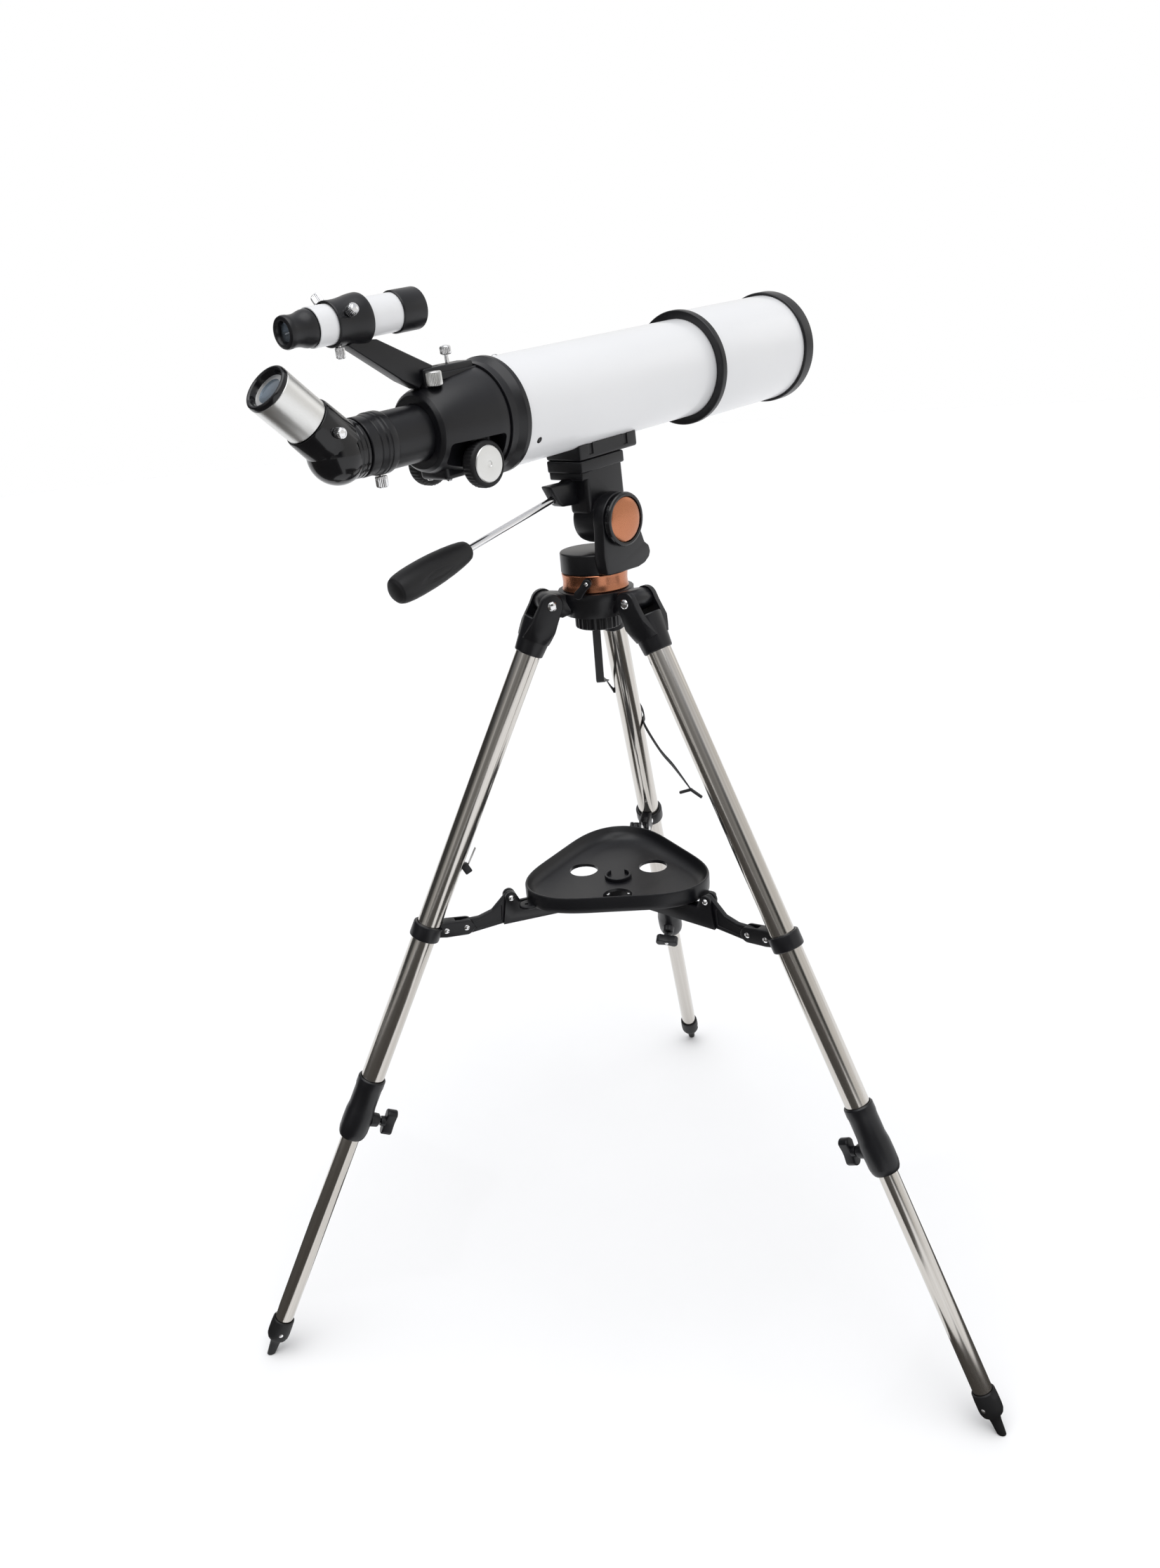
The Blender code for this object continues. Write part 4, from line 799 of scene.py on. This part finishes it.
def leg_point(radius, height):
    out, up = radius - HIP_RADIUS, height - HIP_Z
    return out * cos(SPLAY) + up * sin(SPLAY), -out * sin(SPLAY) + up * cos(SPLAY)


def collar(number, hip, body):
    px, pz = leg_point(*ARM_PIVOT)
    ring = lathe(f"spreader_clamp_{number}", [
        (0.0113, 0.0072), (0.013, 0.0072), (0.0138, 0.0066), (0.014, 0.0054), (0.014, -0.0054),
        (0.0138, -0.0066), (0.013, -0.0072), (0.0113, -0.0072)], hip @ placed((0, 0, -COLLAR_S)),
        True)
    tilt, reach = atan2(pz + COLLAR_S, -px), hypot(px, pz + COLLAR_S)
    outline = [(0.0105, 0.007), (0.018, 0.0078)] + arc(reach, 0, 0.0074, 90, -90, 24) + \
        [(0.018, -0.0078), (0.0105, -0.007)]
    lug = prism("cut", outline, -CHEEK_OUT, CHEEK_OUT,
                hip @ placed((0, 0, -COLLAR_S), (pi / 2, 0, 0)) @ Matrix.Rotation(pi, 4, "Y") @
                Matrix.Rotation(tilt, 4, "Z"), 0.0012)
    union(ring, lug)
    cut(ring, block("cut", (px - 0.025, -CHEEK_IN, pz - 0.03), (px + 0.0125, CHEEK_IN, pz + 0.03),
                    hip, 0), rod(LEG_HOLE, -0.03, 0.03, hip @ placed((0, 0, -COLLAR_S))))
    piece(fine_edges(ring, 0.0004, 40), body, BLACK, f"leg_{number}_spreader_collar")
    for name, x, z in (("pivot", px, pz), ("clamp", -0.0169, -0.3117)):
        piece(bolt(f"{name}_bolt_{number}", CHEEK_OUT, hip @ placed((x, 0, z)) @ TO_Y), body,
              "chrome")


# ---- spreader and tray
def plane(azimuth):
    return STAND @ placed(turn=(pi / 2, 0, azimuth))


def spreader():
    kx, kz = KNUCKLE
    px, pz = ARM_PIVOT
    low = BRACKET_LOW
    keep("spreader_bracket", BLACK, 0.0006)
    for number, azimuth in enumerate(LEG_AZIMUTHS, 1):
        outline = arc(px, pz, 0.0066, -95, 75, 24) + [(px - 0.013, pz + 0.0062)] + \
            [(px - 0.026, pz + 0.01)] + arc(kx, kz, 0.0055, 60, 200, 24) + \
            [(kx + 0.004, low + 0.0012), (px - 0.005, pz - 0.0078)]
        link = prism(f"link_{number}", outline, -LINK_HALF, LINK_HALF, plane(azimuth), 0.0006)
        panel = [(px - 0.006, pz + 0.0012), (px - 0.022, pz + 0.0052), (kx + 0.009, kz - 0.004),
                 (kx + 0.0105, low + 0.0042), (px - 0.01, pz - 0.0045)]
        for near, far in ((-0.005, -0.0016), (0.0016, 0.005)):
            cut(link, prism("cut", rounded(panel, 0.002), near, far, plane(azimuth), 0))
        cut(link, rod(0.0031, -0.01, 0.01, plane(azimuth) @ placed((kx, kz, 0)), sides=32))
        piece(fine_edges(link, 0.0004, 40), f"spreader_link_{number}", BLACK,
              f"spreader_link_{number}")
        pin = lathe(f"knuckle_bolt_{number}", [
            (0, 0.0074), (0.0014, 0.0072), (0.0024, 0.0066), (0.0029, 0.0056), (0.0015, 0.005),
            (0.0015, -0.005), (0.0029, -0.0056), (0.0024, -0.0066), (0.0014, -0.0072),
            (0, -0.0074)], plane(azimuth) @ placed((kx, kz, 0)), fillet=0, sides=48)
        piece(pin, "spreader", "chrome")


def tray_loop(inset):
    """The tray's rounded triangle, its corners at 0, 120 and 240 degrees."""
    points = []
    for i in range(180):
        a = 2 * pi * i / 180
        radius = 0.08 + 0.0118 * cos(3 * a) + 0.001 * cos(6 * a) - inset
        points.append((radius * cos(a), radius * sin(a)))
    return points


def tray():
    low = TRAY_FLOOR - 0.001
    section = [(0.003, 0.0), (0.0012, 0.0006), (0.0003, 0.002), (0.0, 0.006), (0.0, 0.0146),
            (0.0004, 0.0156), (0.0012, 0.016), (0.0022, 0.0157), (0.0028, 0.0148),
            (0.0042, 0.0115), (0.0062, 0.0085), (0.0092, 0.006), (0.0132, 0.0043),
            (0.0185, 0.0033), (0.025, 0.0028)]
    place = STAND @ placed((0, 0, low), (0, 0, LEG_AZIMUTHS[0] + TRAY_TURN))
    bm = bmesh.new()
    rows = [[bm.verts.new((x, y, z)) for x, y in tray_loop(inset)] for inset, z in section]
    for a, b in zip(rows, rows[1:]):
        for i in range(len(a)):
            j = (i + 1) % len(a)
            bm.faces.new((a[i], a[j], b[j], b[i]))
    bm.faces.new(rows[0])
    bm.faces.new(rows[-1])
    dish = to_object(bm, "tray_dish", place, 60)
    for corner in (0, 120, 240):
        turn = placed(turn=(0, 0, radians(corner)))
        tab = prism("cut", [(0.08, -0.0075)] + arc(0.0955, 0, 0.0075, -90, 90, 20) +
                    [(0.08, 0.0075)], 0.0003, 0.0033, place @ turn, 0.0006)
        union(dish, tab)
        middle = placed(turn=(0, 0, radians(corner + 60)))
        cut(dish, rod(0.0135, -0.01, 0.012, place @ middle @ placed((0.0386, 0, 0)), sides=96),
            rod(0.0018, -0.01, 0.01, place @ turn @ placed((0.0965, 0, 0)), sides=32))
    lip = [arc(0, 0, r, 215, 505, 40) for r in (0.0128, 0.0104)]
    raised = prism("tray_lip", lip[0] + lip[1][::-1], 0.0026, 0.0062,
                   STAND @ placed((0.0, 0.0, low), (0, 0, radians(42 + 90 + 90))), 0.0007)
    piece(fine_edges(dish, 0.0004, 50), "tray", BLACK, "accessory_tray")
    piece(raised, "tray", BLACK)
    between = LEG_AZIMUTHS[1] + TRAY_TURN + radians(60)
    for n, shift in enumerate((-0.0096, 0.0096)):
        spot = ball(f"bracket_screw_{n + 1}", 0.0023,
                    STAND @ placed((0.0202 * cos(between) - shift * sin(between),
                                    0.0202 * sin(between) + shift * cos(between), 0.4262)))
        piece(spot, "spreader", "chrome")


# ---- leg tie
ACROSS = (0.69, -0.72, 0.0)


def leg_1_side(along_leg, angle, radius):
    """A point beside leg 1's tube, in the stand's frame."""
    around = (radius * cos(radians(angle)), radius * sin(radians(angle)), -along_leg)
    return hip_frame(LEG_AZIMUTHS[0]) @ Vector(around)


def leg_tie():
    down = (sin(SPLAY) * cos(LEG_AZIMUTHS[0]), sin(SPLAY) * sin(LEG_AZIMUTHS[0]), -cos(SPLAY))
    hook = Vector((0.1358, 0.0138, 0.472))
    stations = [((-0.0017, 0.0018, z), ACROSS) for z in (0.677, 0.654, 0.633, 0.6275)]
    stations += [((0.0022, 0.0045, 0.6245), ACROSS), ((0.011, 0.0105, 0.6222), ACROSS),
                 ((0.04, 0.033, 0.6125), (0.75, -0.6, -0.3)),
                 ((0.066, 0.056, 0.602), (0.55, -0.2, -0.8))]
    stations += [(leg_1_side(0.129 + 0.0062 * k, 105 - 26 * k, 0.0128), down) for k in range(9)]
    stations += [((0.1211, 0.0393, 0.515), (0.42, 0.1, -0.9)),
                 ((0.1278, 0.0277, 0.497), (0.45, 0.3, -0.75)), (hook, (0.6, 0.5, -0.3))]
    points = [Vector(p) for p, _ in stations]
    widths = [Vector(w).normalized() for _, w in stations]
    centres, sides = [], []
    for i in range(len(points) - 1):
        a, b = points[max(i - 1, 0)], points[i]
        c, d = points[i + 1], points[min(i + 2, len(points) - 1)]
        for k in range(8):
            t = k / 8
            centres.append(0.5 * (2 * b + (c - a) * t + (2 * a - 5 * b + 4 * c - d) * t * t +
                                  (3 * b - a - 3 * c + d) * t ** 3))
            sides.append(widths[i].lerp(widths[i + 1], t).normalized())
    centres.append(points[-1])
    sides.append(widths[-1])
    bm = bmesh.new()
    rows = []
    for i, centre in enumerate(centres):
        ahead = centres[min(i + 1, len(centres) - 1)] - centres[max(i - 1, 0)]
        across = sides[i]
        face = ahead.cross(across).normalized()
        section = [(-0.0036, -0.0003), (-0.0033, -0.0006), (0.0033, -0.0006), (0.0036, -0.0003),
                (0.0036, 0.0003), (0.0033, 0.0006), (-0.0033, 0.0006), (-0.0036, 0.0003)]
        rows.append([bm.verts.new(centre + across * u + face * v) for u, v in section])
    for a, b in zip(rows, rows[1:]):
        for i in range(8):
            j = (i + 1) % 8
            bm.faces.new((a[i], a[j], b[j], b[i]))
    bm.faces.new(rows[0])
    bm.faces.new(rows[-1])
    band = to_object(bm, "leg_tie_band", STAND, 60)
    at = STAND @ Matrix.Translation(hook)
    barb = block("barb", (-0.0125, -0.0016, -0.0015), (0.0015, 0.0016, 0.0015),
                 at @ placed(turn=(0, radians(-16), radians(-60))), 0.001)
    tip = block("tip", (-0.0015, -0.0016, -0.0015), (0.014, 0.0016, 0.0015),
                at @ placed(turn=(0, radians(38), radians(-60))), 0.001)
    piece(joined(band, barb, tip), "hub", "black_strap", "leg_strap")
    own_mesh(band)


def leg_clip():
    tongue = prism("leg_clip_tongue",
                   [(-0.0018, 0), (0.0018, 0), (0.0018, 0.018), (-0.0018, 0.018)], 0, 0.0008,
                   STAND @ placed((-0.1234, 0.0713, 0.4765), (radians(120), 0, radians(60))),
                   0.0002)
    piece(tongue, "leg_2", "satin_aluminium")
    holder = block("leg_clip", (-0.0035, -0.0028, -0.005), (0.0035, 0.0028, 0.005),
                   STAND @ placed((-0.1245, 0.0719, 0.4735), (0, radians(26), radians(150))),
                   0.0012)
    piece(holder, "leg_2", BLACK)


# ---- stage
def floor():
    bm = bmesh.new()
    bmesh.ops.create_circle(bm, cap_ends=True, segments=96, radius=9)
    ground = to_object(bm, "floor", placed((0, 0, -0.0005)))
    paper = finish("studio_floor", (0.9, 0.9, 0.9), 0.75, vary=0.02,
                   second=(0.895, 0.895, 0.895))
    ground.data.materials.append(paper)


# start and end azimuth in degrees, inner and outer radius in metres
DARK_CARDS = ((118, 232, 0.42, 7.0), (250, 330, 0.3, 0.75), (95, 140, 0.2, 0.42))


def dark_cards():
    """Dark sheets on the floor that only reflections show, so the steel has its dark bands."""
    dark = finish("dark_card", (0.045, 0.04, 0.035), 0.9)
    for n, (start, end, inner, outer) in enumerate(DARK_CARDS):
        spread = arc(0, 0, outer, start, end, 24) + arc(0, 0, inner, end, start, 24)
        card = prism(f"dark_card_{n + 1}", spread, 0.0, 0.0004, placed((0, AXIS_Y, 0.0002)), 0)
        card.data.materials.append(dark)
        card.visible_camera = card.visible_diffuse = card.visible_shadow = False
        card.visible_transmission = False


# brightness of the surroundings round the horizon, from azimuth -180 to 180 degrees
HORIZON = ((0.0, 0.55), (0.02, 0.22), (0.095, 0.22), (0.13, 0.28), (0.165, 0.04), (0.2, 0.04),
        (0.235, 0.8), (0.7, 0.8), (0.735, 0.05), (0.9, 0.05), (0.94, 0.22), (1.0, 0.55))


def world_light():
    """Soft boxes all round: the horizon's bright and dark parts fade to an even grey above."""
    world = bpy.data.worlds.new("studio")
    bpy.context.scene.world = world
    world.use_nodes = True
    nodes, links = world.node_tree.nodes, world.node_tree.links
    glow = nodes["Background"]
    where = shader_node(nodes, "TexCoord")
    split = shader_node(nodes, "SeparateXYZ")
    links.new(where.outputs["Generated"], split.inputs[0])
    turn = shader_node(nodes, "Math")
    turn.operation = "ARCTAN2"
    links.new(split.outputs["Y"], turn.inputs[0])
    links.new(split.outputs["X"], turn.inputs[1])
    circle = shader_node(nodes, "MapRange", From_Min=-pi, From_Max=pi)
    links.new(turn.outputs[0], circle.inputs["Value"])
    ramp = shader_node(nodes, "ValToRGB")
    elements = ramp.color_ramp.elements
    while len(elements) > 1:
        elements.remove(elements[0])
    first, *others = HORIZON
    elements[0].position, elements[0].color = first[0], (first[1], first[1], first[1], 1)
    for place, value in others:
        elements.new(place).color = (value, value * 0.985, value * 0.96, 1)
    links.new(circle.outputs["Result"], ramp.inputs["Fac"])
    rise = shader_node(nodes, "MapRange", From_Min=0.3, From_Max=0.75)
    links.new(split.outputs["Z"], rise.inputs["Value"])
    mix = shader_node(nodes, "Mix")
    mix.data_type = "RGBA"
    links.new(rise.outputs["Result"], mix.inputs["Factor"])
    links.new(ramp.outputs["Color"], mix.inputs[6])
    mix.inputs[7].default_value = (0.62, 0.63, 0.66, 1)
    path = shader_node(nodes, "LightPath")
    seen = shader_node(nodes, "Mix")
    seen.data_type = "RGBA"
    links.new(path.outputs["Is Camera Ray"], seen.inputs["Factor"])
    links.new(mix.outputs[2], seen.inputs[6])
    seen.inputs[7].default_value = (1.0, 1.0, 1.0, 1)
    links.new(seen.outputs[2], glow.inputs["Color"])
    glow.inputs["Strength"].default_value = 1.0


def lamps():
    sun = bpy.data.lights.new("overhead_light", "SUN")
    sun.energy, sun.angle = 1.9, radians(70)
    above = bpy.data.objects.new("overhead_light", sun)
    above.rotation_euler = (radians(8), radians(-14), 0)
    bpy.context.scene.collection.objects.link(above)
    for name, at, size, power in (("key_light", (-0.9, -1.6, 2.6), 1.2, 4),
                                  ("fill_light", (1.8, -0.6, 1.6), 1.0, 1)):
        lamp = bpy.data.lights.new(name, "AREA")
        lamp.shape, lamp.size, lamp.energy = "DISK", size, power
        item = bpy.data.objects.new(name, lamp)
        bpy.context.scene.collection.objects.link(item)
        item.location = at
        item.rotation_euler = (Vector((0, 0, 0.6)) - Vector(at)).to_track_quat("-Z", "Y").to_euler()
    bpy.context.scene.view_settings.view_transform = "Standard"


def camera():
    yaw, pitch, roll = radians(46.33), radians(21.06), radians(-4.95)
    ahead = Vector((sin(yaw) * cos(pitch), cos(yaw) * cos(pitch), -sin(pitch)))
    right = Vector((cos(yaw), -sin(yaw), 0))
    up = right.cross(ahead)
    r, u = right * cos(roll) + up * sin(roll), up * cos(roll) - right * sin(roll)
    lens = bpy.data.cameras.new("camera")
    lens.sensor_fit, lens.sensor_width, lens.lens = "HORIZONTAL", 36, 38.54
    eye = bpy.data.objects.new("camera", lens)
    bpy.context.scene.collection.objects.link(eye)
    place = Matrix((r, u, -ahead)).transposed().to_4x4()
    place.translation = Vector((-0.7928, -0.6185, 0.9416))
    eye.matrix_world = place
    bpy.context.scene.camera = eye


optical_tube()
focuser()
focus_knobs()
star_diagonal()
finder()
tube_saddle()
altitude_head()
altitude_knob()
turntable()
azimuth_lock()
pan_handle()
hub()
for leg_number, leg_azimuth in enumerate(LEG_AZIMUTHS, 1):
    leg(leg_number, leg_azimuth)
spreader()
tray()
leg_tie()
leg_clip()
floor()
dark_cards()
world_light()
lamps()
camera()
bpy.context.view_layer.update()
